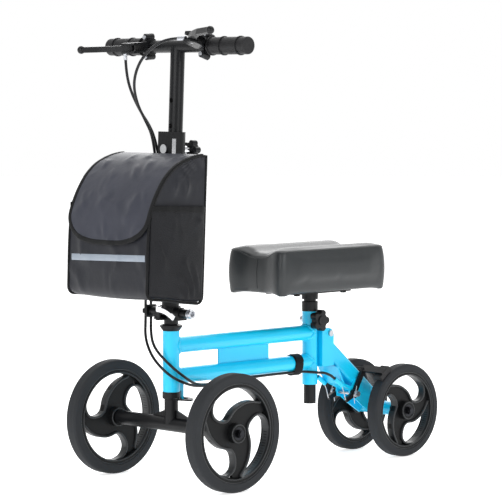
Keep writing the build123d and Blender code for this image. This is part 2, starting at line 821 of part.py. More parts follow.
# where each cable leaves its lever: (x, distance in front of the bar, height in the lever's plan)
left_exit = (44.0, 41.0, 0.0)
right_exit = (84.0, 47.5, -housing_half - 11)
with BuildPart() as perch_hardware:
    for side, tilt in lever_sides:
        ring(pin_plane(side, tilt), pin_radius, 2 * housing_half)
        for ear in (-1, 1):
            ring(ear_plane(side, tilt, ear, 12), 3.6, 3)
    # cable ferrules: the left one points inwards, the right one points down
    ferrule_y = bar_y - left_exit[1] * cos(radians(left_lever_tilt))
    ferrule_z = bar_z + left_exit[1] * sin(radians(left_lever_tilt))
    rod_x(ferrule_y, ferrule_z, 4, left_exit[0], 62)
    right_view = shifted(lever_view(right_lever_tilt, right_exit[2]), -right_exit[0], -right_exit[1])
    ring(right_view, 3.2, -right_exit[2] - housing_half)
finish(perch_hardware, "perch_hardware")

blade_outline = [
    (73, -47),
    (84, -56),
    (104, -67),
    (122, -75),
    (160, -84),
    (160, -77),
    (124, -67),
    (108, -57),
    (92, -41),
    (86, -34),
]


def brake_lever(side, tilt):
    """A lever blade that turns on its pin and ends in a safety ball."""
    with BuildPart() as lever:
        with BuildSketch(lever_view(tilt, -lever_height / 2)):
            Polygon(*mirrored(blade_outline, side), align=None)
            with Locations((side * lever_pivot_x, -lever_reach)):
                Circle(8.5)
        extrude(amount=lever_height)
        tip = lever_view(tilt)
        with Locations(tip * Location((side * 162, -80.5, 0))):
            Sphere(7)
        ring(pin_plane(side, tilt), pin_radius + running_gap, 2 * housing_half, mode=Mode.SUBTRACT)
    return lever


finish(brake_lever(1, left_lever_tilt), "left_brake_lever")
finish(brake_lever(-1, right_lever_tilt), "right_brake_lever")

# ---------------------------------------------------------------- bag
arc_s = bag_top - bag_arc_radius
arc_d = bag_front - bag_arc_radius


def bag_profile(inset):
    """The bag's side outline, closed by its curved roof, drawn inwards by the inset."""
    back = -(bag_back + inset)
    front = -(bag_front - inset)
    bottom = bag_bottom + inset
    radius = bag_arc_radius - inset
    with BuildLine() as outline:
        Polyline(
            (-arc_d, arc_s + radius),
            (back, arc_s + radius),
            (back, bottom),
            (front, bottom),
            (front, arc_s),
        )
        middle = radius * cos(pi / 4)
        ThreePointArc((front, arc_s), (-arc_d - middle, arc_s + middle), (-arc_d, arc_s + radius))
    return outline


with BuildPart() as bag_body:
    with BuildSketch(column_side.offset(-bag_half_width)):
        add(bag_profile(0).line)
        make_face()
    extrude(amount=2 * bag_half_width)
    fillet(bag_body.edges().filter_by(Axis.X).sort_by(Axis.Z)[:2], 10)
    # the inside, open through the roof
    with BuildSketch(column_side.offset(-bag_half_width + bag_wall)):
        add(bag_profile(bag_wall).line)
        make_face()
        with BuildLine():
            Polyline(
                (-(bag_back + bag_wall), arc_s),
                (-(bag_back + bag_wall), bag_top + 9),
                (-(bag_front + 9), bag_top + 9),
                (-(bag_front + 9), arc_s + 26),
                (-(bag_front - bag_wall), arc_s + 26),
                (-(bag_front - bag_wall), arc_s),
                close=True,
            )
        make_face()
    extrude(amount=2 * (bag_half_width - bag_wall), mode=Mode.SUBTRACT)
finish(bag_body, "bag_body")

flap_inner = bag_arc_radius + flap_gap
flap_outer = flap_inner + flap_thickness
flap_tip = 127.0
flap_shoulder = 190.0
with BuildPart() as bag_flap:
    with BuildSketch(column_side.offset(-bag_half_width)):
        with BuildLine():
            inner_mid = flap_inner * cos(pi / 4)
            outer_mid = flap_outer * cos(pi / 4)
            Polyline((-arc_d, arc_s + flap_inner), (-flap_hinge_d, arc_s + flap_inner))
            Line((-flap_hinge_d, arc_s + flap_inner), (-flap_hinge_d, arc_s + flap_outer))
            Line((-flap_hinge_d, arc_s + flap_outer), (-arc_d, arc_s + flap_outer))
            ThreePointArc(
                (-arc_d, arc_s + flap_outer),
                (-arc_d - outer_mid, arc_s + outer_mid),
                (-arc_d - flap_outer, arc_s),
            )
            Polyline(
                (-arc_d - flap_outer, arc_s),
                (-arc_d - flap_outer, flap_tip),
                (-arc_d - flap_inner, flap_tip),
                (-arc_d - flap_inner, arc_s),
            )
            ThreePointArc(
                (-arc_d - flap_inner, arc_s),
                (-arc_d - inner_mid, arc_s + inner_mid),
                (-arc_d, arc_s + flap_inner),
            )
        make_face()
    extrude(amount=2 * bag_half_width)
    # the hanging end is rounded to a wide U
    front_view = facing_back(0, -bag_front - 20)
    with BuildSketch(front_view):
        with Locations((0, -flap_tip + 1)):
            Rectangle(2 * bag_half_width + 20, 2 * (flap_shoulder - flap_tip) + 2)
        with Locations((0, -flap_shoulder)):
            Ellipse(bag_half_width, flap_shoulder - flap_tip, mode=Mode.SUBTRACT)
    extrude(amount=40, mode=Mode.SUBTRACT)
finish(bag_flap, "bag_flap")

with BuildPart() as bag_straps:
    for s in (60.0, 205.0):
        ring(column.offset(s), column_radius + 2, strap_width)
        with BuildSketch(column.offset(s)):
            with Locations((0, -(column_radius + bag_back) / 2)):
                Rectangle(24, bag_back - column_radius + 2)
            with Locations((0, -bag_back - 5)):
                Rectangle(30, 10, mode=Mode.SUBTRACT)
        extrude(amount=strap_width)
        ring(column.offset(s), column_radius, strap_width, mode=Mode.SUBTRACT)
finish(bag_straps, "bag_straps")

# ---------------------------------------------------------------- seat
seat_plate_bottom = pad_bottom - seat_plate_thickness
with BuildPart() as seat_post:
    post_bore = post_radius_seat - post_wall
    rod_z(0, seat_tube_y, post_radius_seat, seat_post_bottom, seat_plate_bottom, post_bore)
finish(seat_post, "seat_post")

pad_middle_y = (pad_front + pad_rear) / 2
with BuildPart() as pad_plate:
    with BuildSketch(Plane.XY.offset(seat_plate_bottom)):
        with Locations((0, seat_tube_y - 10)):
            RectangleRounded(92, 150, 8)
    extrude(amount=seat_plate_thickness)
    rod_z(0, seat_tube_y, post_radius_seat + 4, seat_plate_bottom - 14, seat_plate_bottom, post_radius_seat)
    # the rivets that hold the pad's board
    for x in (-36, 36):
        for y in (seat_tube_y - 70, seat_tube_y + 50):
            rod_z(x, y, 5.5, seat_plate_bottom - 3, seat_plate_bottom)
finish(pad_plate, "pad_plate")

with BuildPart() as knee_pad:
    with BuildSketch(Plane.XY.offset(pad_bottom)):
        with Locations((0, pad_middle_y)):
            RectangleRounded(2 * pad_half_width, pad_rear - pad_front, 24)
    extrude(amount=pad_top - pad_bottom)
    fillet(knee_pad.faces().sort_by(Axis.Z)[-1].edges(), 9)
    floor_z = pad_top - groove_depth
    with BuildSketch(Plane.XZ.offset(-pad_front + 9)):
        Polygon(
            (-groove_half_width, floor_z),
            (groove_half_width, floor_z),
            (groove_half_width + 18, pad_top + 1),
            (-groove_half_width - 18, pad_top + 1),
            align=None,
        )
    extrude(amount=-(pad_rear - pad_front + 18), mode=Mode.SUBTRACT)
finish(knee_pad, "knee_pad")


# ---------------------------------------------------------------- rear brakes
def brake_side(side):
    """The arm and the shoe of one rear brake."""
    tread = rear_wheel_radius + shoe_gap
    shoe_view = side_view(0, rear_axle_y, rear_axle_z)
    out = (cos(radians(shoe_angle)), sin(radians(shoe_angle)))
    bar_centre = tread + 11
    top = (rear_axle_y + out[0] * bar_centre, rear_axle_z + out[1] * bar_centre)
    inner = side * arm_inner
    outer = side * arm_outer
    reach = side * (rear_wheel_x + 10)
    with BuildPart() as arm:
        with BuildSketch(side_view(min(inner, outer))):
            with BuildLine():
                Polyline(
                    (arm_pivot_y - 22, arm_pivot_z - 10),
                    (arm_pivot_y, arm_pivot_z),
                    (arm_pivot_y + 12, arm_pivot_z + 22),
                    top,
                )
            trace(line_width=9)
            with Locations((arm_pivot_y, arm_pivot_z)):
                Circle(8)
        extrude(amount=arm_thickness)
        with BuildSketch(side_view(min(inner, reach))):
            with Locations(Location((top[0], top[1], 0), (0, 0, shoe_angle))):
                Rectangle(4, 16)
        extrude(amount=abs(reach - inner))
        rod_x(arm_pivot_y, arm_pivot_z, pivot_bolt_radius + running_gap, -99, 99, mode=Mode.SUBTRACT)
    with BuildPart() as shoe:
        start = side * (rear_wheel_x - 10)
        middle = tread + 4.5
        with BuildSketch(side_view(min(start, reach))):
            shoe_place = (rear_axle_y + out[0] * middle, rear_axle_z + out[1] * middle, 0)
            with Locations(Location(shoe_place, (0, 0, shoe_angle))):
                Rectangle(9, 30)
        extrude(amount=20)
    return arm, shoe


for name, side in (("left", 1), ("right", -1)):
    brake_arm, brake_shoe = brake_side(side)
    finish(brake_arm, f"{name}_brake_arm")
    finish(brake_shoe, f"{name}_brake_shoe")

# ---------------------------------------------------------------- brake cables
left_start = (left_exit[0], ferrule_y, ferrule_z)
right_start = tuple(right_view.origin)
left_lug = lug_start
right_lug = (-lug_x, lug_start[1], lug_start[2])


def short_of(place, direction, run):
    """The point one run before a place, along the direction in which a cable reaches it."""
    return tuple(p - run * d for p, d in zip(place, direction))


left_upper = [
    left_start,
    short_of(left_start, (1, 0, 0), 24),
    (-6, -262, 757),
    (-28, -275, 730),
    (-42, -277, 694),
    (-47, -264, 658),
    (-45, -246, 628),
    (-41, -233, 602),
    (-40, -229, 572),
]
right_upper = [
    right_start,
    short_of(right_start, tuple(right_view.z_dir), 24),
    (-76, -252, 678),
    (-64, -241, 644),
    (-52, -229, 618),
    (-46, -222, 594),
    (-44, -218, 572),
]
left_lower = [
    (-40, -229, 572),
    (-39, -225, 542),
    (-43, -226, 498),
    (-48, -230, 452),
    (-52, -234, 404),
    (-56, -236, 356),
    (guide_x, guide_front_y, 318),
    (guide_x, guide_front_y, 282),
    (-52, -242, 250),
    (-30, -248, 222),
    (0, -252, 202),
    (20, -243, 186),
    (26, -216, 173),
    (20, -180, 165),
    (13, -145, 164.5),
]
right_lower = [
    (-44, -218, 572),
    (-42, -214, 550),
    (-45, -214, 508),
    (-49, -217, 460),
    (-53, -220, 410),
    (-56.5, -223, 362),
    (guide_x, guide_back_y, 320),
    (guide_x, guide_back_y, 284),
    (-48, -232, 258),
    (-26, -246, 238),
    (2, -251, 220),
    (22, -240, 200),
    (25, -214, 182),
    (14, -180, 167),
    (2, -145, 165),
]
left_rear = [
    (13, -145, 164.5),
    (7, -115, 164.1),
    (8, -74, 168),
    (9.5, -32, 170),
    (9, 10, 170.4),
    (9.2, 50, 170),
    (9, 88, 170),
    (18.5, 113, 166.5),
    short_of(left_lug, lug_direction, 20),
    left_lug,
]
right_rear = [
    (2, -145, 165),
    (-7.6, -117, 163.4),
    (-10, -76, 168),
    (-9.5, -34, 170),
    (-9, 8, 170.4),
    (-9.2, 48, 170),
    (-9, 88, 170),
    (-18.5, 113, 166.5),
    short_of(right_lug, lug_direction, 20),
    right_lug,
]


def distance(a, b):
    """The length of one straight run."""
    return sum((p - q) ** 2 for p, q in zip(a, b)) ** 0.5


def bend_radius(before, at, after):
    """The largest arc that a bend takes while it leaves a tenth of the shorter run straight."""
    first = distance(before, at)
    second = distance(at, after)
    along = sum((q - p) * (r - q) for p, q, r in zip(before, at, after))
    turn = acos(min(1.0, along / (first * second)))
    return 0.45 * min(first, second) / tan(turn / 2)


def cable(label, points):
    """A cable: straight runs joined by tangent arcs, with a round section."""
    places = range(1, len(points) - 1)
    radii = [bend_radius(points[i - 1], points[i], points[i + 1]) for i in places]
    with BuildPart() as tube:
        with BuildLine() as route:
            FilletPolyline(*points, radius=radii)
        with BuildSketch(Plane(origin=points[0], z_dir=route.line % 0)):
            Circle(cable_radius)
        sweep()
    finish(tube, label)
    length = sum(edge.length for edge in route.edges())
    expected = pi * cable_radius**2 * length
    print(f"{label}: length {length:.1f}, radii {[round(r) for r in radii]}")
    print(f"{label}: volume over section times length {tube.part.volume / expected:.4f}")


cable("left_cable_upper", left_upper)
cable("right_cable_upper", right_upper)
cable("left_cable_lower", left_lower)
cable("right_cable_lower", right_lower)
cable("left_cable_rear", left_rear)
cable("right_cable_rear", right_rear)
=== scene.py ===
# %% [markdown]
# # A folding knee scooter
# The scooter's tubes, wheels, hinges and levers already exist as exact solids, each in its own place
# and on its own moving body. This lesson dresses them: it gives every solid a believable finish, and
# builds what a solid can't be, which is the padded seat, the nylon bag, the straps and the cables.
# Everything is in metres, in the frame of those solids. Sizes below are written in millimetres, as on
# a workshop drawing, and turned into metres where they are used.

from math import cos, hypot, pi, radians, sin, sqrt

import bpy
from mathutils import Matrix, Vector, noise


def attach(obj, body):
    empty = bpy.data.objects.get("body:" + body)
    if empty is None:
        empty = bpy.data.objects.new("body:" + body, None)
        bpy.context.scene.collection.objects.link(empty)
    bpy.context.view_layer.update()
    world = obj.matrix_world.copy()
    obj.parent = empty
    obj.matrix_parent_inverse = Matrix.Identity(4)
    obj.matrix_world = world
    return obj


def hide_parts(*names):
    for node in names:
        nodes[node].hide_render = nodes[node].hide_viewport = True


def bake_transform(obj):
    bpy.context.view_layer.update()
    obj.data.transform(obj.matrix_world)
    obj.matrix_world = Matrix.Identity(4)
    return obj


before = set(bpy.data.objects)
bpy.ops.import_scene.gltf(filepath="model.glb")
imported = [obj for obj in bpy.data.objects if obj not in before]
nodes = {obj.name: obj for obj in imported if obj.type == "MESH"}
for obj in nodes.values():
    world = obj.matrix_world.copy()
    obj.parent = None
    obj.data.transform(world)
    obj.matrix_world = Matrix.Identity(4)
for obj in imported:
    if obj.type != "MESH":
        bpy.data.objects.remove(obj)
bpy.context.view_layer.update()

# %% [markdown]
# ## Working in millimetres
# A maker's drawing is in millimetres and Blender works in metres, so one factor does the change. The
# upright column leans back a little, and the bag hangs on it. Their parts are easier to place in the
# column's own directions: across, in front of it, and up along it from its hinge.

# %% Millimetres, and the leaning column's own directions
MM = 0.001
COLUMN_HINGE = Vector((0, -230, 297))
COLUMN_LEAN = radians(2.4)


def mm(x, y, z):
    """A place in the scooter's frame, given in millimetres."""
    return Vector((x, y, z)) * MM


COLUMN_ALONG = Vector((0, sin(COLUMN_LEAN), cos(COLUMN_LEAN)))
COLUMN_AHEAD = Vector((0, -cos(COLUMN_LEAN), sin(COLUMN_LEAN)))


def on_column(across, forward, up):
    """A place beside the column: across it, in front of its middle, and up along it from the hinge."""
    return (COLUMN_HINGE + Vector((across, 0, 0)) + COLUMN_AHEAD * forward + COLUMN_ALONG * up) * MM


def choose(*pieces):
    """Selects these pieces and nothing else, and makes the first one active."""
    bpy.ops.object.select_all(action="DESELECT")
    for piece in pieces:
        piece.select_set(True)
    bpy.context.view_layer.objects.active = pieces[0]


print("top of the bag:", [round(v, 3) for v in on_column(0, 42, 274)])

# %% [markdown]
# ## The camera
# A catalogue picture is taken from far away with a long lens, so that upright tubes stay parallel. A
# camera close by with a wide lens would make the near wheels look huge. The camera stands at seat
# height, 46 degrees round from the front.

# %% Camera
CAMERA_PLACE = mm(3283.2, -3234.5, 699.7)
CAMERA_TARGET = mm(28.36, -62.5, 396.9)
camera_data = bpy.data.cameras.new("studio_camera")
camera_data.lens = 185.07
camera_data.sensor_width = 36
camera = bpy.data.objects.new("studio_camera", camera_data)
bpy.context.scene.collection.objects.link(camera)
camera.location = CAMERA_PLACE
camera.rotation_mode = "QUATERNION"
camera.rotation_quaternion = (CAMERA_TARGET - CAMERA_PLACE).to_track_quat("-Z", "Y")
bpy.context.scene.camera = camera
print("camera distance:", round((CAMERA_TARGET - CAMERA_PLACE).length, 3))

# %% [markdown]
# ## The two brake cables
# A brake cable is a springy 5 mm sheath round a steel wire. It can't make a sharp corner, so it leaves
# the lever straight, swings round in front of the column, runs down behind the bag, passes through a
# guide at the hinge, and sweeps under the frame to the brakes. A smooth spline through a few points
# bends the way a real sheath does, while a line of straight runs and arcs would look like wire.
# Each cable is made in four stretches, one for each joint it crosses: the bar slides in the column, the
# column folds on the fork, and the fork turns in the frame. The first three stay where they are drawn, and the last
# is fixed to the frame.

# %% A cable drawn as a smooth tube
CABLE_THICKNESS = 5.0


def cable_tube(name, route):
    """A sheath of one thickness along a smooth spline with these control points, in millimetres.
    Returns the tube and the line it follows."""
    line = bpy.data.curves.new(name, "CURVE")
    line.dimensions = "3D"
    spline = line.splines.new("NURBS")
    spline.points.add(len(route) - 1)
    for point, place in zip(spline.points, route):
        point.co = (*mm(*place), 1)
    spline.order_u = 3
    spline.use_endpoint_u = True
    line.resolution_u = 10
    tube = bpy.data.objects.new(name, line)
    bpy.context.scene.collection.objects.link(tube)
    bpy.context.view_layer.update()
    thin = bpy.data.meshes.new_from_object(tube)
    path = [tuple(v.co) for v in thin.vertices]
    bpy.data.meshes.remove(thin)
    line.bevel_depth = CABLE_THICKNESS / 2 * MM
    line.bevel_resolution = 3
    line.use_fill_caps = True
    choose(tube)
    bpy.ops.object.convert(target="MESH")
    bpy.ops.object.shade_smooth_by_angle(angle=radians(50))
    return tube, path


def length_of(path):
    """The length of a line of points."""
    return sum((Vector(b) - Vector(a)).length for a, b in zip(path, path[1:]))


# %% Where the cables run
LEFT_ROUTES = {
    "left_cable_at_bar": [(44, -249.75, 768.67), (20, -249.75, 768.67), (-6, -262, 757), (-28, -275, 730),
                          (-42, -277, 694), (-47, -264, 658), (-45, -246, 628), (-41, -233, 602), (-40, -229, 572)],
    "left_cable_behind_bag": [(-40, -229, 572), (-39, -225, 542), (-43, -226, 498), (-48, -230, 452),
                              (-52, -234, 404), (-56, -236, 356), (-57, -236, 318), (-57, -236, 300)],
    "left_cable_at_fork": [(-57, -236, 300), (-57, -236, 282), (-52, -242, 250), (-30, -248, 222), (0, -252, 202),
                           (20, -243, 186), (26, -216, 173), (20, -180, 165), (13, -145, 164.5)],
    "left_cable_under_frame": [(13, -145, 164.5), (7, -115, 164.1), (8, -74, 168), (9.5, -32, 170), (9, 10, 170.4),
                               (9.2, 50, 170), (9, 88, 170), (18.5, 113, 166.5), (22, 141.6, 163.5),
                               (22, 158, 152)],
}
RIGHT_ROUTES = {
    "right_cable_at_bar": [(-84, -256.75, 732.7), (-84, -255.1, 708.8), (-76, -252, 678), (-64, -241, 644),
                           (-52, -229, 618), (-46, -222, 594), (-44, -218, 572)],
    "right_cable_behind_bag": [(-44, -218, 572), (-42, -214, 550), (-45, -214, 508), (-49, -217, 460),
                               (-53, -220, 410), (-56.5, -223, 362), (-57, -223.5, 320), (-57, -223.5, 302)],
    "right_cable_at_fork": [(-57, -223.5, 302), (-57, -223.5, 284), (-48, -232, 258), (-26, -246, 238),
                            (2, -251, 220), (22, -240, 200), (25, -214, 182), (14, -180, 167), (2, -145, 165)],
    "right_cable_under_frame": [(2, -145, 165), (-7.6, -117, 163.4), (-10, -76, 168), (-9.5, -34, 170),
                                (-9, 8, 170.4), (-9.2, 48, 170), (-9, 88, 170), (-18.5, 113, 166.5),
                                (-22, 141.6, 163.5), (-22, 158, 152)],
}
STRETCHES = (
    ("_at_bar", "_cable_upper", "handlebar", "column", (0, -240, 690), (0, -225, 590)),
    ("_behind_bag", "_cable_lower", "column", "fork", (0, -232, 350), (0, -232, 304)),
    ("_at_fork", "_cable_lower", "fork", "frame", (0, -250, 245), (0, -180, 168)),
    ("_under_frame", "_cable_rear", "frame", "frame", None, None),
)
cables = []
for side, routes in (("left", LEFT_ROUTES), ("right", RIGHT_ROUTES)):
    for ending, solid, upper_body, lower_body, start, end in STRETCHES:
        name = side + "_cable" + ending
        tube, path = cable_tube(name, routes[name])
        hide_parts(side + solid)
        if start is None:
            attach(tube, upper_body)
        else:
            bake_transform(tube)
        cables.append(tube)
        print(name, "length in mm:", round(length_of(path) / MM, 1))

# %% [markdown]
# ## The studio
# A product picture of a black and blue scooter needs broad, soft light: small lamps would put hard
# sparks on the paint and leave the black parts without form. Here a large lamp high on the camera's
# left is the main light, a second one from the right fills the shadows, and two above and behind draw a
# bright line along the top edges. The sky stands for a white backdrop: it is bright behind the scooter,
# which lights the pad's top at a glancing angle, and dim on the camera's side, because black paint
# mirrors a bright room and turns grey. The floor is plain and pale, and glows a little, as a lit table does.

# %% Lights
LIGHTS = {
    "main_softbox": ((0.6, -3.4, 1.9), 2.2, 70),
    "side_softbox": ((3.6, -0.3, 1.6), 2.0, 44),
    "top_softbox": ((0.2, 0.5, 3.0), 2.4, 34),
    "back_softbox": ((-2.6, 2.6, 2.2), 2.0, 26),
}
for name, (place, size, power) in LIGHTS.items():
    lamp = bpy.data.lights.new(name, "AREA")
    lamp.shape = "SQUARE"
    lamp.size = size
    lamp.energy = power
    holder = bpy.data.objects.new(name, lamp)
    bpy.context.scene.collection.objects.link(holder)
    holder.location = place
    holder.rotation_mode = "QUATERNION"
    holder.rotation_quaternion = (Vector((0, 0, 0.35)) - Vector(place)).to_track_quat("-Z", "Y")

print("lights:", len(LIGHTS))

# %% [markdown]
# A sky is made of shader nodes, as every finish further on is. One function adds a node, sets it and
# links it in one line, so that a recipe of nodes reads from top to bottom.

# %% A node in one line, and the sky
def add(tree, kind, inputs=None, **settings):
    """Adds a node, sets its properties, then sets each input or links it to another node's output."""
    made = tree.nodes.new("ShaderNode" + kind)
    for name, value in settings.items():
        setattr(made, name, value)
    for name, value in (inputs or {}).items():
        if isinstance(value, bpy.types.NodeSocket):
            tree.links.new(value, made.inputs[name])
        else:
            made.inputs[name].default_value = value
    return made


SKY_SEEN, SKY_DIM, SKY_BRIGHT, SKY_TURN = 1.0, 0.18, 1.5, -0.3
AWAY = (-0.72, 0.69, 0.05)
WHITE = (1, 1, 1, 1)
sky = bpy.data.worlds.new("pale_studio")
sky.use_nodes = True
tree = sky.node_tree
seen = tree.nodes["Background"]
seen.inputs["Color"].default_value = WHITE
seen.inputs["Strength"].default_value = SKY_SEEN
way = add(tree, "TexCoord").outputs["Generated"]
facing = add(tree, "VectorMath", {0: way, 1: AWAY}, operation="DOT_PRODUCT")
spread = add(tree, "MapRange", {"Value": facing.outputs["Value"], "From Min": SKY_TURN, "To Min": SKY_DIM,
                                "To Max": SKY_BRIGHT})
lit = add(tree, "Background", {"Color": WHITE, "Strength": spread.outputs["Result"]})
ray = add(tree, "LightPath").outputs["Is Camera Ray"]
choice = add(tree, "MixShader", {0: ray, 1: lit.outputs[0], 2: seen.outputs[0]})
tree.links.new(choice.outputs[0], tree.nodes["World Output"].inputs["Surface"])
bpy.context.scene.world = sky
bpy.context.scene.view_settings.view_transform = "Standard"
bpy.context.scene.view_settings.look = "None"
print("sky strength from", SKY_DIM, "to", SKY_BRIGHT)

# %% Floor
bpy.ops.object.select_all(action="DESELECT")
FLOOR_RADIUS, FLOOR_DROP = 14, 0.0005
bpy.ops.mesh.primitive_circle_add(vertices=96, radius=FLOOR_RADIUS, fill_type="NGON", location=(0, 0, -FLOOR_DROP))
floor = bpy.context.object
floor.name = "studio_floor"
print("floor radius in metres:", FLOOR_RADIUS)

# %% [markdown]
# ## Finishes
# Each finish is named for the real material. All of them use one principled shader. A few small
# functions mottle its colour, raise a bump or vary its roughness, so that a finish is a short recipe.
# Colours are written as the hex values a paint chart gives, and turned to the linear values that light
# adds up in. Patterns are measured in the scooter's own space, so that a 1 mm weave is 1 mm everywhere.

# %% Paint-chart colours, and the steps of a finish
def linear(chart):
    """A hex colour such as 22b4f0 as linear red, green, blue and full opacity."""
    parts = [int(chart[i:i + 2], 16) / 255 for i in (0, 2, 4)]
    return tuple(c / 12.92 if c <= 0.04045 else ((c + 0.055) / 1.055) ** 2.4 for c in parts) + (1.0,)


def finish(name, roughness, metallic=0.0, **more):
    """A new material with its principled shader set. Returns the material, its tree and the shader."""
    made = bpy.data.materials.new(name)
    made.use_nodes = True
    shader = made.node_tree.nodes["Principled BSDF"]
    shader.inputs["Roughness"].default_value = roughness
    shader.inputs["Metallic"].default_value = metallic
    for socket, value in more.items():
        shader.inputs[socket.replace("_", " ")].default_value = value
    return made, made.node_tree, shader


def per_mm(size):
    """The texture scale that makes one cell of a pattern this many millimetres wide."""
    return 1000 / size


def mottled(tree, shader, dark, light, size, detail=3.0):
    """Links a soft, cloudy change between two close colours, with patches of about this size in mm."""
    places = add(tree, "TexCoord").outputs["Object"]
    cloud = add(tree, "TexNoise", {"Vector": places, "Scale": per_mm(size), "Detail": detail})
    mixed = add(tree, "Mix", {0: cloud.outputs["Fac"], 6: linear(dark), 7: linear(light)}, data_type="RGBA")
    tree.links.new(mixed.outputs[2], shader.inputs["Base Color"])
    return places, cloud


def bumped(tree, shader, height, depth, strength=1.0, after=None):
    """Links a bump of this depth in millimetres to the shader, on top of an earlier bump if one is given."""
    inputs = {"Height": height, "Distance": depth * MM, "Strength": strength}
    if after is not None:
        inputs["Normal"] = after.outputs["Normal"]
    bump = add(tree, "Bump", inputs)
    tree.links.new(bump.outputs["Normal"], shader.inputs["Normal"])
    return bump


def noisy(tree, shader, places, size, depth, detail):
    """A bump of soft noise: its size and depth in millimetres."""
    noise_node = add(tree, "TexNoise", {"Vector": places, "Scale": per_mm(size), "Detail": detail})
    return bumped(tree, shader, noise_node.outputs["Fac"], depth)


def pitted(tree, shader, places, size, depth, strength=1.0):
    """A bump of small cells: their size and depth in millimetres."""
    cells = add(tree, "TexVoronoi", {"Vector": places, "Scale": per_mm(size)})
    return bumped(tree, shader, cells.outputs["Distance"], depth, strength)


def varied(tree, shader, pattern, low, high):
    """Lets a pattern swing the roughness between two values."""
    swing = add(tree, "MapRange", {"Value": pattern, "To Min": low, "To Max": high})
    tree.links.new(swing.outputs["Result"], shader.inputs["Roughness"])


# %% Floor finish
floor_paint, tree, shader = finish("pale_matt_floor_paint", 0.9, Emission_Color=WHITE, Emission_Strength=0.62)
mottled(tree, shader, "fbfbfb", "ffffff", 400)
floor.data.materials.append(floor_paint)
print("one millimetre of pattern is a scale of", per_mm(1))

# %% [markdown]
# ### Powder coat, blue and black
# The frame is powder coated: dry paint is sprayed on and baked until it flows into a thick, glossy skin.
# It never flows quite flat, and leaves a fine orange peel a couple of millimetres across. A clear coat
# on the shader gives its wet-looking highlight, and a slight cloudiness stops the blue from looking flat.
# The black coat on the column and fork is the satin kind, rougher and without the wet layer.

# %% Powder coats
blue_powder_coat, tree, shader = finish("blue_gloss_powder_coat", 0.34, Coat_Weight=0.2, Coat_Roughness=0.12)
places, cloud = mottled(tree, shader, "00c2ee", "04cbf6", 60)
noisy(tree, shader, places, 2.2, 0.06, 1.0)

black_powder_coat, tree, shader = finish("black_satin_powder_coat", 0.36, Coat_Weight=0.08, Coat_Roughness=0.15,
                                         Specular_IOR_Level=0.2)
places, cloud = mottled(tree, shader, "0d0e10", "131416", 45)
noisy(tree, shader, places, 1.4, 0.05, 2.0)
varied(tree, shader, cloud.outputs["Fac"], 0.32, 0.44)
print("powder coats: orange peel of 2.2 and 1.4 mm")

# %% [markdown]
# ### Moulded plastics and rubber
# Knobs, levers and the cable guide are moulded nylon with a spark-eroded mould texture, which is a very
# fine pitted grain that breaks up highlights. The wheels' rims are glass-filled nylon, greyer and
# coarser. The tyres are cast polyurethane: matt, slightly lighter, and marked by dust and fine scuffs
# round the tread. The grips are soft black rubber.

# %% Plastics and rubber
moulded_nylon, tree, shader = finish("moulded_black_nylon", 0.36, Specular_IOR_Level=0.28)
places, cloud = mottled(tree, shader, "0e0f11", "161719", 30)
noisy(tree, shader, places, 0.7, 0.05, 2.0)

rim_nylon, tree, shader = finish("glass_filled_rim_nylon", 0.42, Specular_IOR_Level=0.16)
places, cloud = mottled(tree, shader, "0d0e0f", "161718", 50)
noisy(tree, shader, places, 1.0, 0.08, 3.0)

cast_polyurethane, tree, shader = finish("cast_polyurethane_tyre", 0.7, Specular_IOR_Level=0.25)
places, cloud = mottled(tree, shader, "222427", "2c2e31", 35, 5.0)
varied(tree, shader, cloud.outputs["Fac"], 0.6, 0.85)
pitted(tree, shader, places, 1.6, 0.12, 0.6)

grip_rubber, tree, shader = finish("soft_grip_rubber", 0.55, Specular_IOR_Level=0.35)
places, cloud = mottled(tree, shader, "131315", "1b1b1d", 25)
pitted(tree, shader, places, 2.4, 0.25, 0.8)

cable_sheath, tree, shader = finish("extruded_black_cable_sheath", 0.3, Specular_IOR_Level=0.3)
places, cloud = mottled(tree, shader, "0d0e10", "15161a", 12)
noisy(tree, shader, places, 6, 0.08, 1.0)
for tube in cables:
    tube.data.materials.append(cable_sheath)
print("plastics and rubbers: 5")

# %% [markdown]
# ### Bare metals
# Bolts, springs and the brake's stays are zinc-plated steel: silver with a faint cloudy grain. The clamp
# band and the ferrules are polished chrome, which mirrors the studio. A metal's colour is its
# reflection, so each needs only a base colour, full metallic and a roughness that varies a little.
# The axles, their nuts and the wheel bearings are black oxide steel, the same metal under a dark, thin,
# oily film.

# %% Metals
zinc_steel, tree, shader = finish("zinc_plated_steel", 0.32, metallic=1.0)
places, cloud = mottled(tree, shader, "aeb1b8", "d2d4d8", 8)
varied(tree, shader, cloud.outputs["Fac"], 0.24, 0.42)
bumped(tree, shader, cloud.outputs["Fac"], 0.03)

polished_chrome, tree, shader = finish("polished_chrome_plate", 0.1, metallic=1.0)
places, cloud = mottled(tree, shader, "dfe1e5", "f2f3f5", 14)
varied(tree, shader, cloud.outputs["Fac"], 0.06, 0.16)

black_oxide, tree, shader = finish("black_oxide_steel", 0.34, metallic=1.0)
places, cloud = mottled(tree, shader, "26272a", "3b3c40", 9)
varied(tree, shader, cloud.outputs["Fac"], 0.28, 0.42)
print("metals: 3")

# %% [markdown]
# ## Dressing the solids
# Each solid says in the model's record what it is made of. The loop below gives each the finish of that
# name. Soft parts have no finish here, because pieces of their own take their place further on.

